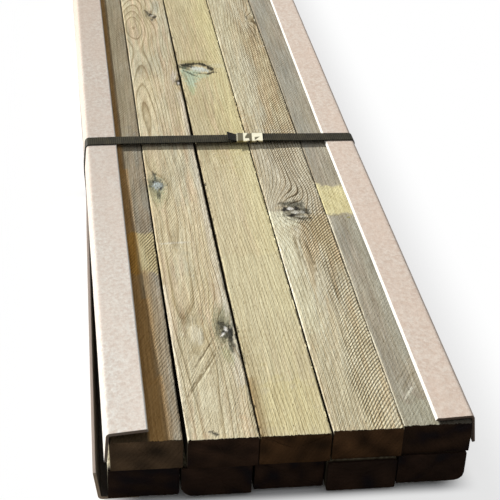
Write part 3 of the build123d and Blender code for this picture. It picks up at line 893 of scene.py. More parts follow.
def make_batten(layer, number, batten, fine, coarse, steps):
    """Carries the section along the batten's line, cuts the surface marks, closes both ends."""
    seed = 100 * number + (0 if layer == "top" else 1000)
    radii = [ARRIS] * 4
    if layer == "bottom" and number in WANEY_SIDES:
        radii[0 if WANEY_SIDES[number] < 0 else 3] = WANE
    side_x, side_z, normal_x, normal_z = section_outline(radii, steps)
    x, y, z, t = batten_places(layer, number, fine, coarse, (side_x, side_z))
    depth = LAYER_MIDDLE[layer] + THICKNESS / 2 - z
    from_end = np.minimum(t, LENGTH - t)

    rings = ring_count(batten, x, depth, t, seed)
    phase, sawn, rough_edge = saw_marks(batten, x, t, seed)
    knot = cracked_knots(batten, x, depth, t)
    tone = with_stains_and_painted_light(batten, batten_tone(batten, x, t, seed), x, depth, t, seed)
    tone = darkened_at_ends_and_gaps(layer, number, batten, tone, depth, from_end, normal_x)
    lines = table_at(batten["contrast"], t) * (0.6 + 0.4 * rough_edge) * (1 - 0.5 * knot)
    marks = np.stack([sawn, lines, np.full_like(x, batten["saw"][4])], axis=-1)

    corner = np.abs(normal_x * normal_z) * 2
    cut = surface_cut(batten, x, depth, t, rings, phase, sawn, corner, seed)
    frayed = (0.3 + 0.6 * ripple(side_x * 3, side_z * 3, 5, 7, seed + 11)).clip(0, 1.1)
    frayed = frayed * np.exp(-from_end / 1.6) * (0.25 + 0.75 * (depth < 1.5))
    points = np.stack([x - cut * normal_x, y + np.where(y < 0, 1, -1) * frayed, z - cut * normal_z], axis=-1)

    body = (points, rings, phase, knot, tone, marks)
    parts = [end_rows(batten, points, True, seed), body, end_rows(batten, points, False, seed)]
    points, rings, phase, knot, tone, marks = (np.concatenate(rows) for rows in zip(*parts))
    make_piece(
        f"batten_{layer}_{number}_sawn", with_hubs(points), tube_faces(*points.shape[:2]), sawn_pine,
        f"batten_{layer}_{number}",
        floats={"ring": with_hubs(rings), "saw": with_hubs(phase), "knot": with_hubs(knot)},
        colours={"tone": with_hubs(tone), "marks": with_hubs(marks)},
    )


for number, batten in enumerate(TOP_BATTENS, start=1):
    make_batten("top", number, batten, FINEST_ROWS if number == 4 else FINE_ROWS, COARSE_ROWS, TOP_STEPS)

# %% [markdown]
# The bottom layer is seen at its ends, along its sides and from below, so its section has its finer
# steps on the underside. Its rings and marks come from the same functions.

# %% Making the bottom layer
BOTTOM_ROWS = (7.0, 16.0)
# The end tone of the bottom layer: dark end grain, made darker still as painted shade.
BOTTOM_END = (0.0125, 0.0063, 0.0036)
BOTTOM_TONES = (
    (0.62, 0.57, 0.43), (0.47, 0.4, 0.26), (0.43, 0.37, 0.25), (0.5, 0.43, 0.28), (0.42, 0.38, 0.22))
BOTTOM_HEARTS = (14, -20, 8, -9, 18)
BOTTOM_SLANTS = (1.4, -1.2, 1.8, 1.1, -1.6)
for number, (tone, heart, slant) in enumerate(zip(BOTTOM_TONES, BOTTOM_HEARTS, BOTTOM_SLANTS), start=1):
    heart_x = middle_x("bottom", number) + heart
    plain = dict(
        tone=tone, blush=tone, grey=tuple(0.9 * c + 0.03 for c in tone), end=BOTTOM_END,
        heart=[(0, heart_x, 40), (1100, heart_x + 6, 22), (2400, heart_x - 6, 60)],
        ring_width=4.0, contrast=[(0, 0.5)], saw=(5.0, slant, 0.0, 0.5, 0.6), saw_from=None, sunk=0.0,
        knots=[], stains_and_painted_light=[], dabs=[],
    )
    make_batten("bottom", number, plain, *BOTTOM_ROWS, BOTTOM_STEPS)

# %% [markdown]
# An edge protector is solid paperboard, many plies of recycled paper pressed together and bent to an
# angle. Flat under the bands, it springs open elsewhere. Each board has four stations for that: front end,
# band, middle and back end, with the lift of the flat leg and the splay of the side leg in degrees, and the
# bow of the whole board to its side in millimetres. At the front the scene follows the picture more closely
# than the solids do: one board stands proud there, one leans less and bows out more, one is cut askew.

# %% Sizes of the edge protectors
BOARD = 2.2
FLAT_LEG = 27.0
SIDE_LEG = 22.0
BEND = 1.0
SEAT = 0.3
STACK_TOP = STACK_BOTTOM + 2 * THICKNESS
HELD = 60.0
STATION_BLUR = np.linspace(-20, 20, 5)
PLAIN_BOARD = dict(
    setback=3.5, lift=(0, 0, 0, 0), proud=0.0, slope=0.3, askew=(0.0, 0.0), shade=(1, 1, 1), paler=(0, 0, 0),
    inside=1.0, side_edge=(1, 1, 1), flat_edge=(1, 1, 1), end=None)
# The lower boards' inside and end tints are painted shade on their inner faces and end faces; side_edge
# darkens their side cut edge.
LOWER_BOARD = dict(
    PLAIN_BOARD, layer=-1, inside=0.12, side_edge=(0.42, 0.36, 0.34), end=(0.3, 0.27, 0.22))
BOARDS = {
    # The top left board's flat_edge warms and darkens its inner cut edge as painted shade; the top right
    # board's inside is painted shade on its inner face.
    "edge_protector_top_left": dict(
        PLAIN_BOARD, side=-1, layer=1, lift=(6.0, 1.0, 2.4, 4.0), splay=(4, 4, 12, 8), bow=(0, 0, 0.8, 0.4),
        proud=2.5, slope=0.5, shade=(0.80, 0.81, 0.81), paler=(0.15, 0.22, 0.28),
        flat_edge=(0.9, 0.72, 0.55)),
    "edge_protector_top_right": dict(
        PLAIN_BOARD, side=1, layer=1, lift=(1.6, 0.5, 1.0, 1.5), splay=(8, 4, 6, 7), bow=(0, 0, 4.8, 1.2),
        slope=1.4, askew=(2.4, 5.0), inside=0.3),
    "edge_protector_bottom_left": dict(
        LOWER_BOARD, side=-1, splay=(10, 4, 12, 10), bow=(6, 0, 0.8, 0.8)),
    "edge_protector_bottom_right": dict(
        LOWER_BOARD, side=1, setback=60.0, splay=(10, 4, 8, 25), bow=(0.4, 0, 1.2, 2)),
}
print("boards described:", len(BOARDS))

# %% [markdown]
# The board keeps one thickness round the bend, so the shape is a line with a normal at each point: the
# inner face is the line, the outer face is the line moved along its normal by the thickness.

# %% The bent line of a board
LINE_STEPS = (16, 7, 12)


def sprung(board, key, y):
    """A board's lift, splay or bow along y: straight from station to station, the corners rounded off."""
    front, band, middle, back = board[key]
    half = LENGTH / 2 - board["setback"]
    places = [-half, -BAND_PLACE - HELD / 2, -BAND_PLACE + HELD / 2, 0,
              BAND_PLACE - HELD / 2, BAND_PLACE + HELD / 2, half]
    values = [front, band, band, middle, band, band, back]
    return np.mean([np.interp(y + shift, places, values) for shift in STATION_BLUR], 0)


def board_line(board, lift, splay):
    """Inner face of a bent board as points and outward normals, from the flat leg's edge to the side leg's.

    With a the angle of the normal from upright, n = (side sin a, layer cos a). The legs are straight and
    the bend is an arc about the point that lies one bend radius inside both legs.
    """
    side, layer = board["side"], board["layer"]
    flat_steps, bend_steps, side_steps = LINE_STEPS
    lift, splay = np.radians(np.atleast_1d(lift))[:, None], np.radians(np.atleast_1d(splay))[:, None]
    corner = np.array([side * (STACK_HALF + SEAT), STACK_TOP + SEAT if layer > 0 else STACK_BOTTOM])

    def normal(a):
        return np.stack([side * np.sin(a), layer * np.cos(a)], axis=-1)

    turn = lift + np.linspace(0, 1, bend_steps) * (pi / 2 - splay - lift)
    first, last = normal(lift), normal(pi / 2 - splay)
    hub = corner - BEND * (first + last) / (1 + (first * last).sum(-1, keepdims=True))
    arc = hub + BEND * normal(turn)
    flat_way = np.stack([-side * np.cos(lift), layer * np.sin(lift)], axis=-1)
    side_way = np.stack([side * np.sin(splay), -layer * np.cos(splay)], axis=-1)
    flat_share = np.linspace(1, 0, flat_steps, endpoint=False)[:, None]
    side_share = np.linspace(0, 1, side_steps + 1)[1:, None]
    flat = arc[:, :1] + flat_share * (corner + FLAT_LEG * flat_way - arc[:, :1])
    down = arc[:, -1:] + side_share * (corner + SIDE_LEG * side_way - arc[:, -1:])
    points = np.concatenate([flat, arc, down], axis=1)
    normals = [np.repeat(first, flat_steps, axis=1), normal(turn), np.repeat(last, side_steps, axis=1)]
    return points, np.concatenate(normals, axis=1)


def held_line(board):
    """The inner face of a board where a band holds it, as points and normals."""
    line, normal = board_line(board, board["lift"][1], board["splay"][1])
    return line[0], normal[0]


print("points across a board:", len(held_line(BOARDS["edge_protector_top_left"])[0]))

# %% [markdown]
# The paper is not one colour: grey and pink fibres clump to a soft mottle a few millimetres across, and
# the cut edges are paler and show the plies. Noise at three sizes gives the mottle. Attributes tell the
# finish where the edges are, how deep in the thickness a point lies, and how the board is tinted there,
# with painted shade in the tint.


# %% The finish of pressed paperboard
def paperboard_finish():
    """Colour = two papers mixed by mottle and fibre, paler on cut edges, striped there by the plies."""
    material, tree, shader = new_finish("pressed_paperboard", roughness=0.9, specular=0.15)
    clump = stretched_noise(tree, (330, 260, 330), detail=4.0, roughness=0.62)
    cloud = stretched_noise(tree, (30, 14, 30), detail=3.0, roughness=0.5)
    fibre = stretched_noise(tree, (900, 420, 900), detail=4.0, roughness=0.7)
    on_edge = attribute(tree, "cut_edge")
    mottle = stops(tree, clump, (0.0, 0.0), (0.36, 0.0), (0.66, 1.0))
    paper = blended(tree, mottle, (0.64, 0.512, 0.425, 1), (0.78, 0.695, 0.612, 1))
    paper = blended(tree, stops(tree, cloud, (0.35, 0.0), (0.7, 0.5)), paper, (0.72, 0.57, 0.47, 1))
    paper = scaled(tree, paper, sums(tree, "MULTIPLY_ADD", fibre, 0.44, 0.78))
    plies = sums(tree, "SINE", sums(tree, "MULTIPLY", attribute(tree, "ply"), 2 * pi * 6))
    cut = scaled(tree, (0.82, 0.79, 0.73), sums(tree, "MULTIPLY_ADD", plies, 0.09, 0.93))
    colour = blended(tree, on_edge, paper, cut)
    colour = blended(tree, 1.0, colour, attribute(tree, "tint", "Color"), blend="MULTIPLY")
    tree.links.new(colour, shader.inputs["Base Color"])
    edge_plies = product(tree, plies, on_edge)
    height = added_up(tree, sums(tree, "MULTIPLY", fibre, 0.5), (clump, 0.6), (edge_plies, 0.3))
    bumped(tree, shader, height, strength=0.35, distance=0.0004)
    return material


pressed_paperboard = paperboard_finish()
print("finish:", pressed_paperboard.name, len(pressed_paperboard.node_tree.nodes), "nodes")

# %% [markdown]
# A board was cut with a blade, so its edges are sharp but not quite square: three points go down each long
# cut edge, a little proud in the middle, and the inner edge slopes. The section is walked over the outer
# face, down the side leg's edge, back over the inner face and up the flat leg's edge.

# %% The section of a board
THROUGH = np.array([0.86, 0.5, 0.14])
EDGE = len(THROUGH)
EDGE_PROUD = 0.12
ASKEW_REACH = 60.0
BAND_GRIP = 90.0


def unit(ways):
    """Directions of length one."""
    return ways / np.linalg.norm(ways, axis=-1, keepdims=True)


def board_rows(board):
    """Distances of the rows from the front end of a board: close at both ends, 8 and then 18 mm between."""
    length = LENGTH - 2 * board["setback"]
    near = np.array([0, 0.4, 1.0, 2.0, 3.5])
    front, rest = np.arange(6, 480, 8.0), np.arange(480, length - 8, 18.0)
    return np.concatenate([near, front, rest, length - near[::-1]])


def board_section(board, t, y, seed):
    """The closed section of a board at each row, with its own small waves where no band holds it."""
    free = 1 - np.exp(-((np.abs(y) - BAND_PLACE) / BAND_GRIP) ** 4)
    lift = sprung(board, "lift", y) + 0.2 * (board["layer"] > 0) * free * ripple_along(t, 700, seed)
    splay = sprung(board, "splay", y) + 0.6 * free * ripple_along(t, 500, seed + 1)
    line, normal = board_line(board, lift, splay)
    flat_way, side_way = unit(line[:, :1] - line[:, 1:2]), unit(line[:, -1:] - line[:, -2:-1])
    through = THROUGH[:, None]

    def cut_edge(at, way):
        proud = EDGE_PROUD * np.sin(pi * through)
        return line[:, at, None] + BOARD * through * normal[:, at, None] + proud * way

    outer = line + BOARD * normal
    outer[:, 0] -= board["slope"] * flat_way[:, 0]
    flat_edge = cut_edge(0, flat_way) - board["slope"] * through * flat_way
    section = np.concatenate([outer, cut_edge(-1, side_way), line[:, ::-1], flat_edge[:, ::-1]], axis=1)
    section[..., 1] += (board["proud"] * smooth_step(-BAND_PLACE - HELD, y[0], y))[:, None]
    return section


def board_points(board, t, y, seed):
    """The section at each row, moved by the bow, with the front end cut askew and a slight unevenness."""
    section = board_section(board, t, y, seed)
    bow = board["side"] * sprung(board, "bow", y)
    inward = np.abs(section[0, :, 0]).max() - np.abs(section[0, :, 0])
    at_edge, at_bend = board["askew"]
    askew = at_bend + (at_edge - at_bend) * np.clip(inward / FLAT_LEG, 0, 1)
    rows_y = y[:, None] + smooth_step(ASKEW_REACH, 0, t)[:, None] * askew
    points = np.stack([section[..., 0] + bow[:, None], rows_y, section[..., 1]], axis=-1)
    uneven = 0.05 * ripple(points[..., 0], points[..., 1], 14, 60, seed + 2)
    return points + uneven[..., None] * np.array([0.5, 0, 0.5])


print("rows along a board:", len(board_rows(PLAIN_BOARD)))

# %% [markdown]
# The tint paints shade: it darkens both end faces, and the inner faces of the lower boards and of the top
# right one, and it warms and darkens the shaded inner cut edge of the top left board. It also darkens the
# side cut edge of the lower boards, and pales the front of the board that has lain in the light. The ends
# are strips between the outer and the inner face, shaded flat, like the long cut edges.

# %% Making the edge protectors
PALE_REACH = 850.0
END_FACE_SHADE = np.array([0.82, 0.85, 0.87])
BOARD_SEED = 400


def strip_quads(outer, inner):
    """Quads between the outer and inner points of an end."""
    return np.stack([outer[1:], outer[:-1], inner[:-1], inner[1:]], axis=-1).tolist()


def both_ends(front, rows, columns):
    """The faces of the first row, and the same faces turned round on the last row."""
    return front + [[(rows - 1) * columns + corner for corner in face[::-1]] for face in front]


def board_tint(board, t, count):
    """Paler towards the front if the board is so, painted shade on both end faces and inside, darker on some
    edges.
    """
    front = np.clip(1 - t / PALE_REACH, 0, 1)[:, None]
    # Painted shade on both end faces.
    end_face_shade = smooth_step(0.3, 0.0, np.minimum(t, t[-1] - t))[:, None]
    tint = (np.array(board["shade"]) + front * np.array(board["paler"])) * (1 - end_face_shade * END_FACE_SHADE)
    tint = np.repeat(tint[:, None], 2 * (count + EDGE), axis=1)
    tint[:, count - 1:count + EDGE] *= np.array(board["side_edge"])
    # Painted shade on the inner faces.
    tint[:, count + EDGE:2 * count + EDGE] *= board["inside"]
    # For the top left board this warms and darkens its shaded inner cut edge: painted shade.
    tint[:, 2 * count + EDGE:] *= np.array(board["flat_edge"])
    # The lower boards' end faces get a tone of their own, as painted shade.
    if board["end"]:
        tint[[0, -1]] = np.array(board["end"])
    return tint


def make_board(name, board, seed):
    """Carries the bent board's section along the bundle, with its attributes and flat cut edges."""
    t = board_rows(board)
    points = board_points(board, t, t - t[-1] / 2, seed)
    rows, columns = points.shape[:2]
    count = columns // 2 - EDGE
    ply = np.concatenate([np.ones(count), THROUGH, np.zeros(count), THROUGH[::-1]])
    cut = np.zeros(columns)
    cut[[0, *range(count - 1, count + EDGE + 1), *range(2 * count + EDGE - 1, columns)]] = 1

    quads = loop_quads(rows, columns).tolist()
    outer = np.arange(count)
    near_side = list(range(count - 1, count + EDGE + 1))
    near_flat = [*range(2 * count + EDGE - 1, columns), 0]
    front = strip_quads(outer, 2 * count + EDGE - 1 - outer) + [near_side[::-1], near_flat[::-1]]
    faces = quads + both_ends(front, rows, columns)
    if board["side"] * board["layer"] < 0:
        faces = [face[::-1] for face in faces]
    column = np.arange(len(quads)) % columns
    on_edge = ((column >= count - 1) & (column < count + EDGE)) | (column >= 2 * count + EDGE - 1)
    make_piece(
        f"{name}_bent", points.reshape(-1, 3), faces, pressed_paperboard, name,
        floats={"ply": np.tile(ply, rows), "cut_edge": np.tile(cut, rows)},
        colours={"tint": board_tint(board, t, count).reshape(-1, 3)},
        rounded=np.concatenate([~on_edge, np.zeros(2 * len(front), dtype=bool)]),
    )


for number, (name, board) in enumerate(BOARDS.items()):
    make_board(name, board, BOARD_SEED + 10 * number)

# %% [markdown]
# The band is flat plastic strapping drawn tight round the four boards, so it follows their convex hull.
# A hull can be had without a search: for every direction, the farthest point of the boards in that
# direction lies on it. Moved out along the direction by the clearance and half the thickness, those
# points are the band's middle line.

# %% Sizes and line of the bands
STRAP_WIDTH = 16.0
HALF_STRAP = STRAP_WIDTH / 2
STRAP = 0.8
STRAP_ROOM = 0.2
STRAPS = {"front": -BAND_PLACE, "back": BAND_PLACE}
BAND_STEP = 1.06
DIRECTIONS = 7201


def band_line(spacing):
    """Closed line round the boards, evenly spaced, with its outward normals, from below and clockwise."""
    outer = np.concatenate([line + BOARD * normal for line, normal in map(held_line, BOARDS.values())])
    angle = np.radians(np.linspace(270, -90, DIRECTIONS))
    way = np.stack([np.cos(angle), np.sin(angle)], axis=1)
    line = outer[np.argmax(way @ outer.T, axis=1)] + (STRAP_ROOM + STRAP / 2) * way
    line, way = np.concatenate([line, line[:1]]), np.concatenate([way, way[:1]])
    length = np.concatenate([[0], np.cumsum(np.linalg.norm(np.diff(line, axis=0), axis=1))])
    places = np.linspace(0, length[-1], int(length[-1] / spacing), endpoint=False)
    points = np.stack([np.interp(places, length, line[:, k]) for k in (0, 1)], axis=1)
    normals = np.stack([np.interp(places, length, way[:, k]) for k in (0, 1)], axis=1)
    return points, unit(normals), places


band_points, band_normals, band_places = band_line(BAND_STEP)
print("band goes round", round(band_places[-1]), "mm")

# %% [markdown]
# Strapping is black plastic that has been scuffed and has gathered dust. Its finish mixes two near blacks
# by noise. Fine ribs across it, too small for the mesh, come from the distance along the band; they are
# painted into the colour as light and dark stripes, painted highlight and shade, and carried in the bump.
# The strap is darker at its edges, and its cut tail is painted darker as painted shade.

# %% The finish of the strapping
RIB_PITCH = 2.0


def strapping_finish():
    """Near black plastic with dust where it is scuffed, ribs painted in as light and dark stripes, darker
    edges and tail.
    """
    material, tree, shader = new_finish("embossed_strapping", roughness=0.55, specular=0.08)
    scuff = stretched_noise(tree, (160, 90, 160), detail=5.0, roughness=0.65)
    fine = stretched_noise(tree, (1500, 700, 1500), detail=3.0, roughness=0.6)
    dust = stops(tree, scuff, (0.35, 0.0), (0.75, 1.0))
    colour = blended(tree, dust, (0.0185, 0.0165, 0.0095, 1), (0.046, 0.0395, 0.021, 1))
    rib = sums(tree, "SINE", sums(tree, "MULTIPLY", attribute(tree, "along"), 2 * pi / RIB_PITCH))
    # The ribs are painted into the colour as light and dark stripes: painted highlight and shade.
    rib_light_and_shade = sums(tree, "MULTIPLY_ADD", rib, 0.55, sums(tree, "MULTIPLY_ADD", fine, 0.5, 0.75))
    colour = scaled(tree, colour, product(tree, rib_light_and_shade, attribute(tree, "edge_and_tail_darkening")))
    tree.links.new(colour, shader.inputs["Base Color"])
    bumped(tree, shader, sums(tree, "MULTIPLY_ADD", rib, 0.5, fine), strength=0.3, distance=0.0003)
    return material


embossed_strapping = strapping_finish()
print("finish:", embossed_strapping.name, len(embossed_strapping.node_tree.nodes), "nodes")

# %% [markdown]
# Strapping is rolled with a waffle, so that the seal grips it. Small diamonds stand on the outer face in
# the mesh itself. They are pressed out of the thickness, so their tops are level with the solid's face and
# the ground between them lies lower.

# %% Making the bands
WAFFLE_PITCH = 2.3
WAFFLE_RISE = 0.13
STRAP_EDGE = 0.15
FACE_STEPS = 20
BACK_STEPS = 7


def waffle(along, across):
    """Diamonds: the product of two slanted waves, flat on top, fading at the edges of the strap."""
    first = np.cos(pi * (along + across) / WAFFLE_PITCH) ** 2
    second = np.cos(pi * (along - across) / WAFFLE_PITCH) ** 2
    inside = smooth_step(HALF_STRAP, HALF_STRAP - 1.2, np.abs(across))
    return WAFFLE_RISE * smooth_step(0.1, 0.6, first * second) * inside


def strap_section():
    """Places across a strap and through it, round its section: outer face, edge, inner face, edge."""
    flat = HALF_STRAP - STRAP_EDGE
    face, back = np.linspace(-flat, flat, FACE_STEPS), np.linspace(flat, -flat, BACK_STEPS)
    across = np.concatenate([face, [HALF_STRAP], back, [-HALF_STRAP]])
    return across, np.concatenate([np.full(FACE_STEPS, 0.5), [0.0], np.full(BACK_STEPS, -0.5), [0.0]])


def spread(section, y):
    """Points from a section in x and z and a y for each of its columns or points."""
    return np.stack([section[..., 0], np.broadcast_to(y, section.shape[:2]), section[..., 1]], axis=-1)


across, through = strap_section()
outer_face = through > 0.4
# The strap is darker towards its edges.
darker_edges = smooth_step(HALF_STRAP, HALF_STRAP - 1.0, np.abs(across)) * 0.6 + 0.4
band_size = (len(band_points), len(across))
loop = np.arange(band_size[0] * band_size[1]).reshape(band_size)
ahead, beside = np.roll(loop, -1, axis=0), np.roll(loop, -1, axis=1)
band_faces = np.stack([ahead, np.roll(ahead, -1, axis=1), beside, loop], axis=-1).reshape(-1, 4).tolist()
stand = through * STRAP + (waffle(band_places[:, None], across) - WAFFLE_RISE) * outer_face
band_section = band_points[:, None] + stand[..., None] * band_normals[:, None]
for end, place in STRAPS.items():
    make_piece(
        f"strap_{end}_band", spread(band_section, place + across).reshape(-1, 3), band_faces,
        embossed_strapping, f"strap_{end}",
        floats={"along": np.repeat(band_places, len(across)), "edge_and_tail_darkening": np.tile(darker_edges, len(band_places))})

# %% [markdown]
# On top the strap runs straight from one board's inner edge to the other's. The seal's middle lies on
# that run, and the run and its upright are the axes for the lap and the seal.

# %% The run on top
SEAL_X = 28.0
SEAL_LENGTH = 25.5
HALF_SEAL = SEAL_LENGTH / 2


def rest_point(board):
    """Where the band leaves a top board: its inner edge, out by the board and the clearance."""
    line, normal = held_line(board)
    return line[0] + (BOARD + STRAP_ROOM) * normal[0]


left_rest, right_rest = (rest_point(BOARDS[f"edge_protector_top_{side}"]) for side in ("left", "right"))
run_way = unit(right_rest - left_rest)
run_up = np.array([-run_way[1], run_way[0]])
seal_middle = left_rest + run_way * (SEAL_X - left_rest[0]) / run_way[0] + run_up * STRAP
print("run on top:", round(float(np.linalg.norm(right_rest - left_rest)), 1), "mm")

# %% [markdown]
# The upper end of the strap climbs onto the lower one, goes through the seal, and ends in a short cut tail
# that has sprung up and twisted a little. The lap is a second strip, with its height given along the band.
# Inside the seal it is pressed down, so that nothing shows through the steel.

# %% Making the lapped ends and their tails
LAP_START = 66.0
LAP_SINK = 0.06
LAP_SHARE = 0.98
SEAL_DIP = 0.55
TAIL = 9.0
TAIL_LIFT = 2.4
TAIL_TWIST = 0.07

lap_along = np.concatenate([
    np.arange(LAP_START, HALF_SEAL, -1.0), np.arange(HALF_SEAL, -HALF_SEAL - TAIL - 0.1, -0.5)])
past = np.clip((-HALF_SEAL - lap_along) / TAIL, 0, 1)
climb = smooth_step(LAP_START, HALF_SEAL, lap_along)
lap_middle = -STRAP / 2 - LAP_SINK + (STRAP + LAP_SINK) * climb + TAIL_LIFT * past ** 1.3
lap_height = lap_middle[:, None] + through * STRAP * LAP_SHARE
lap_height = lap_height + (waffle(lap_along[:, None], across) - WAFFLE_RISE) * outer_face
lap_height = lap_height + np.sin(TAIL_TWIST * past)[:, None] * across
in_seal = smooth_step(HALF_SEAL - 1.2, HALF_SEAL - 2.4, np.abs(lap_along))[:, None]
lap_height = lap_height - SEAL_DIP * (outer_face & (np.abs(across) < HALF_STRAP)) * in_seal
lap_section = seal_middle + lap_along[:, None, None] * run_way + lap_height[..., None] * run_up
# Painted shade: the tail is painted darker, as it tilts away from the lamp.
lap_darkening = darker_edges * (1 - 0.72 * smooth_step(0.0, 0.2, past))[:, None]
lap_places = np.broadcast_to(lap_along[:, None], lap_height.shape)
for end, place in STRAPS.items():
    make_piece(
        f"strap_{end}_lap", with_hubs(spread(lap_section, place + across)), tube_faces(*lap_height.shape),
        embossed_strapping, f"strap_{end}",
        floats={"along": with_hubs(lap_places), "edge_and_tail_darkening": with_hubs(lap_darkening)})

# %% [markdown]
# The seal is a sleeve of bright sheet steel, closed with a tool. What is bitten or rubbed loses its shine,
# so an attribute mixes a second, dark tone into the metal, and noise drawn out along it gives scratches.
# The same dark tone is painted shade in the bitten wedges and on all that faces down. The steel's cream
# tone, warmer than bare zinc, stands in for warm reflections: a painted reflection.


# %% The finish of the seals
def seal_finish():
    """Zinc-coated steel, cream as a painted reflection, finely scratched, dark where bitten, rubbed or in
    painted shade.
    """
    material, tree, shader = new_finish("crimped_steel", roughness=0.32, specular=0.5, metallic=1.0)
    scratch = stretched_noise(tree, (120, 2600, 900), detail=3.0, roughness=0.6)
    dull = stretched_noise(tree, (260, 260, 260), detail=4.0, roughness=0.6)
    bright = sums(tree, "MULTIPLY_ADD", scratch, 0.25, sums(tree, "MULTIPLY_ADD", dull, 0.25, 0.72))
    # The cream tone is a painted reflection of warm surroundings; the dark tone is wear and painted shade.
    colour = blended(tree, attribute(tree, "worn_and_shaded"), (0.97, 0.92, 0.7, 1), (0.13, 0.11, 0.055, 1))
    tree.links.new(scaled(tree, colour, bright), shader.inputs["Base Color"])
    bumped(tree, shader, scratch, strength=0.15, distance=0.0001)
    return material


crimped_steel = seal_finish()
print("finish:", crimped_steel.name, len(crimped_steel.node_tree.nodes), "nodes")

# %% [markdown]
# The section of the sleeve is a C with its seam underneath. It is walked from one lip of the seam to the
# other, over the top, and the inner wall lies one sheet thickness inside the outer one.

# %% The section of a seal
SEAL_WALL = 0.5
SEAL_ROOM = 0.1
SEAL_SEAM = 4.0
SEAL_BEND = 0.5
SEAL_HALF = HALF_STRAP + SEAL_ROOM + SEAL_WALL
SEAL_HIGH = STRAP + SEAL_ROOM + SEAL_WALL
LIP_STEPS, BEND_STEPS, CROWN_STEPS = 8, 5, 22


def level_run(start, end, count, height):
    """A level run of the wall, with normals that point away from the middle."""
    places = np.linspace(start, end, count)
    return np.stack([places, np.full(count, height)], 1), np.tile([0.0, np.sign(height)], (count, 1))


def corner_arc(side, upper, start):
    """A quarter turn of the wall, clockwise from an angle in degrees, without its first and last point."""
    angle = np.radians(np.linspace(start, start - 90, BEND_STEPS + 2)[1:-1])
    way = np.stack([np.cos(angle), np.sin(angle)], 1)
    centre = np.array([side * (SEAL_HALF - SEAL_BEND), upper * (SEAL_HIGH - SEAL_BEND)])
    return centre + SEAL_BEND * way, way


def seal_wall():
    """Outer wall of the sleeve as points (across, up) and normals, from one lip of the seam to the other."""
    flat, lip = SEAL_HALF - SEAL_BEND, SEAL_SEAM / 2
    runs = [
        level_run(-lip, -flat, LIP_STEPS, -SEAL_HIGH), corner_arc(-1, -1, 270), corner_arc(-1, 1, 180),
        level_run(-flat, flat, CROWN_STEPS, SEAL_HIGH), corner_arc(1, 1, 90), corner_arc(1, -1, 0),
        level_run(flat, lip, LIP_STEPS, -SEAL_HIGH),
    ]
    return [np.concatenate(part) for part in zip(*runs)]


wall, wall_normal = seal_wall()
sleeve = np.concatenate([wall, (wall - SEAL_WALL * wall_normal)[::-1]])
print("points round a seal:", len(sleeve))

# %% [markdown]
# The crimping tool bites notches into both edges: there the wall is pushed in towards the middle. On top
# it leaves two slanted wedges, pressed in and painted dark, partly as painted shade, and the steel between
# them keeps its shape and its shine. Each mark is a field over the distances along the band and across it.

# %% The marks of the crimp
NOTCHES = (-0.6, 7.6)
CRIMP_REACH = 2.3


def bitten_wedges(along, across):
    """1 inside the two wedges on top: a steep one by the middle, a shallow one to the right of it."""
    steep = smooth_step(-0.8, 0.8, 2.9 * (along + 4.46) - across)
    steep = steep * smooth_step(-0.8, 0.8, across + 3.5 + 12 * np.clip(along + 0.7, 0, 9))
    steep = steep * smooth_step(-4.9, -4.3, along) * smooth_step(2.6, 2.2, along)
    shallow = smooth_step(-0.6, 0.6, 0.26 * (along - 5) - 1.4 - across) * smooth_step(4.7, 5.2, along)
    shallow = shallow * smooth_step(-0.6, 0.6, across + 7.8 - 1.5 * (along - 5))
    return np.clip(steep + shallow, 0, 1)


def edge_notches(along, across):
    """1 in the middle of each notch, falling off straight along the band, and only at the edges."""
    near = np.max([np.clip(1 - np.abs(along - place) / CRIMP_REACH, 0, 1) for place in NOTCHES], axis=0)
    return near * smooth_step(0.8, 1.0, np.clip(np.abs(across) / SEAL_HALF, 0, 1))


def worn_and_shaded_steel(along, across, up, bite):
    """Dark share of the steel: bitten wedges, the tail end, the far edge; painted shade on wedges and
    underside.
    """
    tail_end = 0.55 + 0.45 * smooth_step(-HALF_SEAL + 0.6, -HALF_SEAL + 1.4, along)
    tail_end = smooth_step(-6.0, -6.6, along) * tail_end
    far_edge = 0.6 * smooth_step(0.8, 0.92, across / SEAL_HALF) * smooth_step(-6.0, -5.0, along)
    worn_and_shaded = np.clip(np.maximum(np.maximum(bite, tail_end), far_edge), 0, 1) * smooth_step(0.2, 0.8, up)
    # All that faces down gets the dark tone as painted shade.
    return np.maximum(worn_and_shaded, 0.75 * smooth_step(0.8, 0.3, up))


print("notches at", NOTCHES, "mm from the seal's middle")

# %% [markdown]
# The seal is the sleeve carried along the run, with the marks cut in, its two ends a little flared and the
# whole sitting slightly askew on the strap.

# %% Making the seals
SEAL_ROWS = 65
SEAL_SKEW = 0.1
NOTCH_PUSH = 0.12
WEDGE_DEPTH = 0.45
END_FLARE = 0.1

seal_along = np.linspace(-HALF_SEAL, HALF_SEAL, SEAL_ROWS)[:, None]
sleeve_across, sleeve_up = sleeve[None, :, 0], sleeve[None, :, 1]
bite = bitten_wedges(seal_along, sleeve_across)
# The bitten wedges are dark partly from wear and partly as painted shade.
worn_and_shaded = worn_and_shaded_steel(seal_along, sleeve_across, sleeve_up, bite)
pushed = sleeve_across * (1 - NOTCH_PUSH * edge_notches(seal_along, sleeve_across))
pressed = sleeve_up - WEDGE_DEPTH * bite * smooth_step(0.2, 0.8, sleeve_up)
flare = END_FLARE * smooth_step(HALF_SEAL - 2.0, HALF_SEAL, np.abs(seal_along))
pressed = pressed + flare * np.sign(sleeve_up)
seal_section = seal_middle + seal_along[..., None] * run_way + pressed[..., None] * run_up
seal_section[..., 0] += SEAL_SKEW * pushed

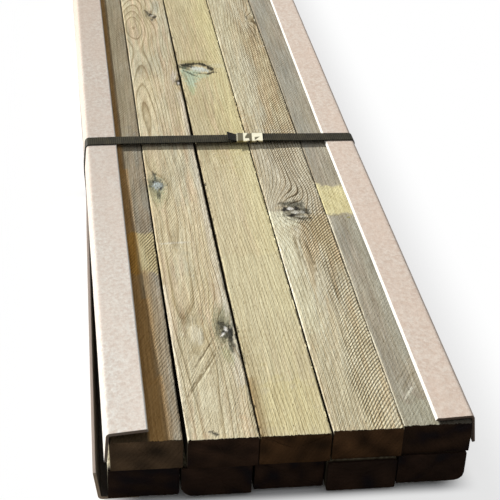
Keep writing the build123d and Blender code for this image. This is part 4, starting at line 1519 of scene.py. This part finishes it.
seal_quads = loop_quads(*pushed.shape).tolist()
outer = np.arange(len(wall))
lips = both_ends(strip_quads(outer, 2 * len(wall) - 1 - outer), *pushed.shape)
seal_faces = [face[::-1] for face in seal_quads + lips]
seal_rounded = np.arange(len(seal_faces)) < len(seal_quads)
for end, place in STRAPS.items():
    make_piece(
        f"strap_seal_{end}_crimped", spread(seal_section, place + pushed).reshape(-1, 3), seal_faces,
        crimped_steel, f"strap_seal_{end}", floats={"worn_and_shaded": worn_and_shaded.ravel()}, rounded=seal_rounded)

# %% [markdown]
# Seen as in the picture: the camera stands low and near to the front end, a long lens on a small field.
# Its place, its three angles and its focal length in pixels were fitted to the edges of the battens.

# %% The camera
SENSOR = 36.0
PICTURE_PIXELS = 500
FOCAL_PIXELS = 1383.8
CAMERA_PLACE = np.array([-156.0, -1947.1, 649.4]) * MM
YAW, PITCH, ROLL = radians(8.96), radians(30.55), radians(2.85)


def standing(right, up, back, place=(0, 0, 0)):
    """A matrix from three axes and a place."""
    axes = np.stack([right, up, back], 1)
    return Matrix([[*axis, spot] for axis, spot in zip(axes, place)] + [[0, 0, 0, 1]])


camera_data = bpy.data.cameras.new("camera")
camera_data.sensor_width = SENSOR
camera_data.lens = FOCAL_PIXELS / PICTURE_PIXELS * SENSOR
camera_data.clip_start = 0.01
camera = add_to_scene("camera", camera_data)
forward = np.array([sin(YAW) * cos(PITCH), cos(YAW) * cos(PITCH), -sin(PITCH)])
level_right = np.array([cos(YAW), -sin(YAW), 0.0])
level_up = np.cross(level_right, forward)
camera_right = cos(ROLL) * level_right + sin(ROLL) * level_up
camera_up = cos(ROLL) * level_up - sin(ROLL) * level_right
camera.matrix_world = standing(camera_right, camera_up, -forward, CAMERA_PLACE)
bpy.context.scene.camera = camera
print("lens", round(camera_data.lens, 1), "mm")

# %% [markdown]
# The floor is white to the camera and still takes a soft shadow. It glows for the camera's rays only. Near
# the bundle some of the glow gives way to a plain matt white, and under the bundle all of it does, so that
# the floor lies in the dark there.

# %% The floor
FLOOR_HALF = 30
BESIDE = (0.14, 0.21)
BESIDE_GLOW = 0.7
UNDER_WIDTH = (0.105, 0.14)
UNDER_LENGTH = (1.198, 1.211)


def eased(tree, value, low, high, start, end):
    """Goes smoothly from `start` to `end` while a value goes from `low` to `high`."""
    inputs = {"Value": value, 1: low, 2: high, 3: start, 4: end}
    return put(tree, "ShaderNodeMapRange", inputs, interpolation_type="SMOOTHSTEP")


def seen_plainly(tree):
    """1 for rays of the camera, by way of mirrors and glass too, and 0 for rays that only bring light."""
    rays = put(tree, "ShaderNodeLightPath", {}).node.outputs
    mirrored = sums(tree, "MAXIMUM", rays["Is Glossy Ray"], rays["Is Transmission Ray"])
    return sums(tree, "MAXIMUM", rays["Is Camera Ray"], mirrored)


floor_mesh = bpy.data.meshes.new("floor")
floor_corners = [(x * FLOOR_HALF, y * FLOOR_HALF, 0) for x, y in ((-1, -1), (1, -1), (1, 1), (-1, 1))]
floor_mesh.from_pydata(floor_corners, [], [(0, 1, 2, 3)])
floor = add_to_scene("floor", floor_mesh)
floor_finish = bpy.data.materials.new("pale_floor")
floor_finish.use_nodes = True
tree = floor_finish.node_tree
tree.nodes.clear()
axes = put(tree, "ShaderNodeSeparateXYZ", {"Vector": object_place(tree)}).node.outputs
aside, along = sums(tree, "ABSOLUTE", axes["X"]), sums(tree, "ABSOLUTE", axes["Y"])
under = product(tree, eased(tree, aside, *UNDER_WIDTH, 1.0, 0.0), eased(tree, along, *UNDER_LENGTH, 1.0, 0.0))
share = product(tree, eased(tree, aside, *BESIDE, BESIDE_GLOW, 1.0), sums(tree, "SUBTRACT", 1.0, under))
matt = put(tree, "ShaderNodeBsdfDiffuse", {"Color": (0.95, 0.95, 0.95, 1)})
glow = put(tree, "ShaderNodeEmission", {"Color": (1, 1, 1, 1), "Strength": 1.0})
mixed = put(tree, "ShaderNodeMixShader", {0: product(tree, seen_plainly(tree), share), 1: matt, 2: glow})
put(tree, "ShaderNodeOutputMaterial", {"Surface": mixed})
floor_mesh.materials.append(floor_finish)
print("floor", 2 * FLOOR_HALF, "m wide")

# %% [markdown]
# One soft lamp low at the back on the left rakes over the wood and shows its relief, and a pale world
# fills the shade. To the camera the world is plain white, like the floor.

# %% The light
SUN_WAY = np.array([2.1, -2.0, -1.12])
SUN_STRENGTH = 5.9
SUN_SPREAD = radians(3.5)
SUN_COLOUR = (1.0, 0.985, 0.95)
SKY_STRENGTH = 0.335
SKY_COLOUR = (0.96, 0.98, 1.0, 1)

sun_data = bpy.data.lights.new("window", "SUN")
sun_data.energy = SUN_STRENGTH
sun_data.angle = SUN_SPREAD
sun_data.color = SUN_COLOUR
shine = unit(SUN_WAY)
beside_shine = unit(np.cross(shine, [0, 0, 1]))
add_to_scene("window", sun_data).matrix_world = standing(beside_shine, np.cross(beside_shine, shine), -shine)

world = bpy.data.worlds.new("studio")
bpy.context.scene.world = world
world.use_nodes = True
tree = world.node_tree
tree.nodes.clear()
sky = put(tree, "ShaderNodeBackground", {"Color": SKY_COLOUR, "Strength": SKY_STRENGTH})
white = put(tree, "ShaderNodeBackground", {"Color": (1, 1, 1, 1), "Strength": 1.0})
mixed = put(tree, "ShaderNodeMixShader", {0: seen_plainly(tree), 1: sky, 2: white})
put(tree, "ShaderNodeOutputWorld", {"Surface": mixed})
bpy.context.scene.view_settings.view_transform = "Standard"
print("lamp from", (-shine).round(2), "with strength", SUN_STRENGTH)
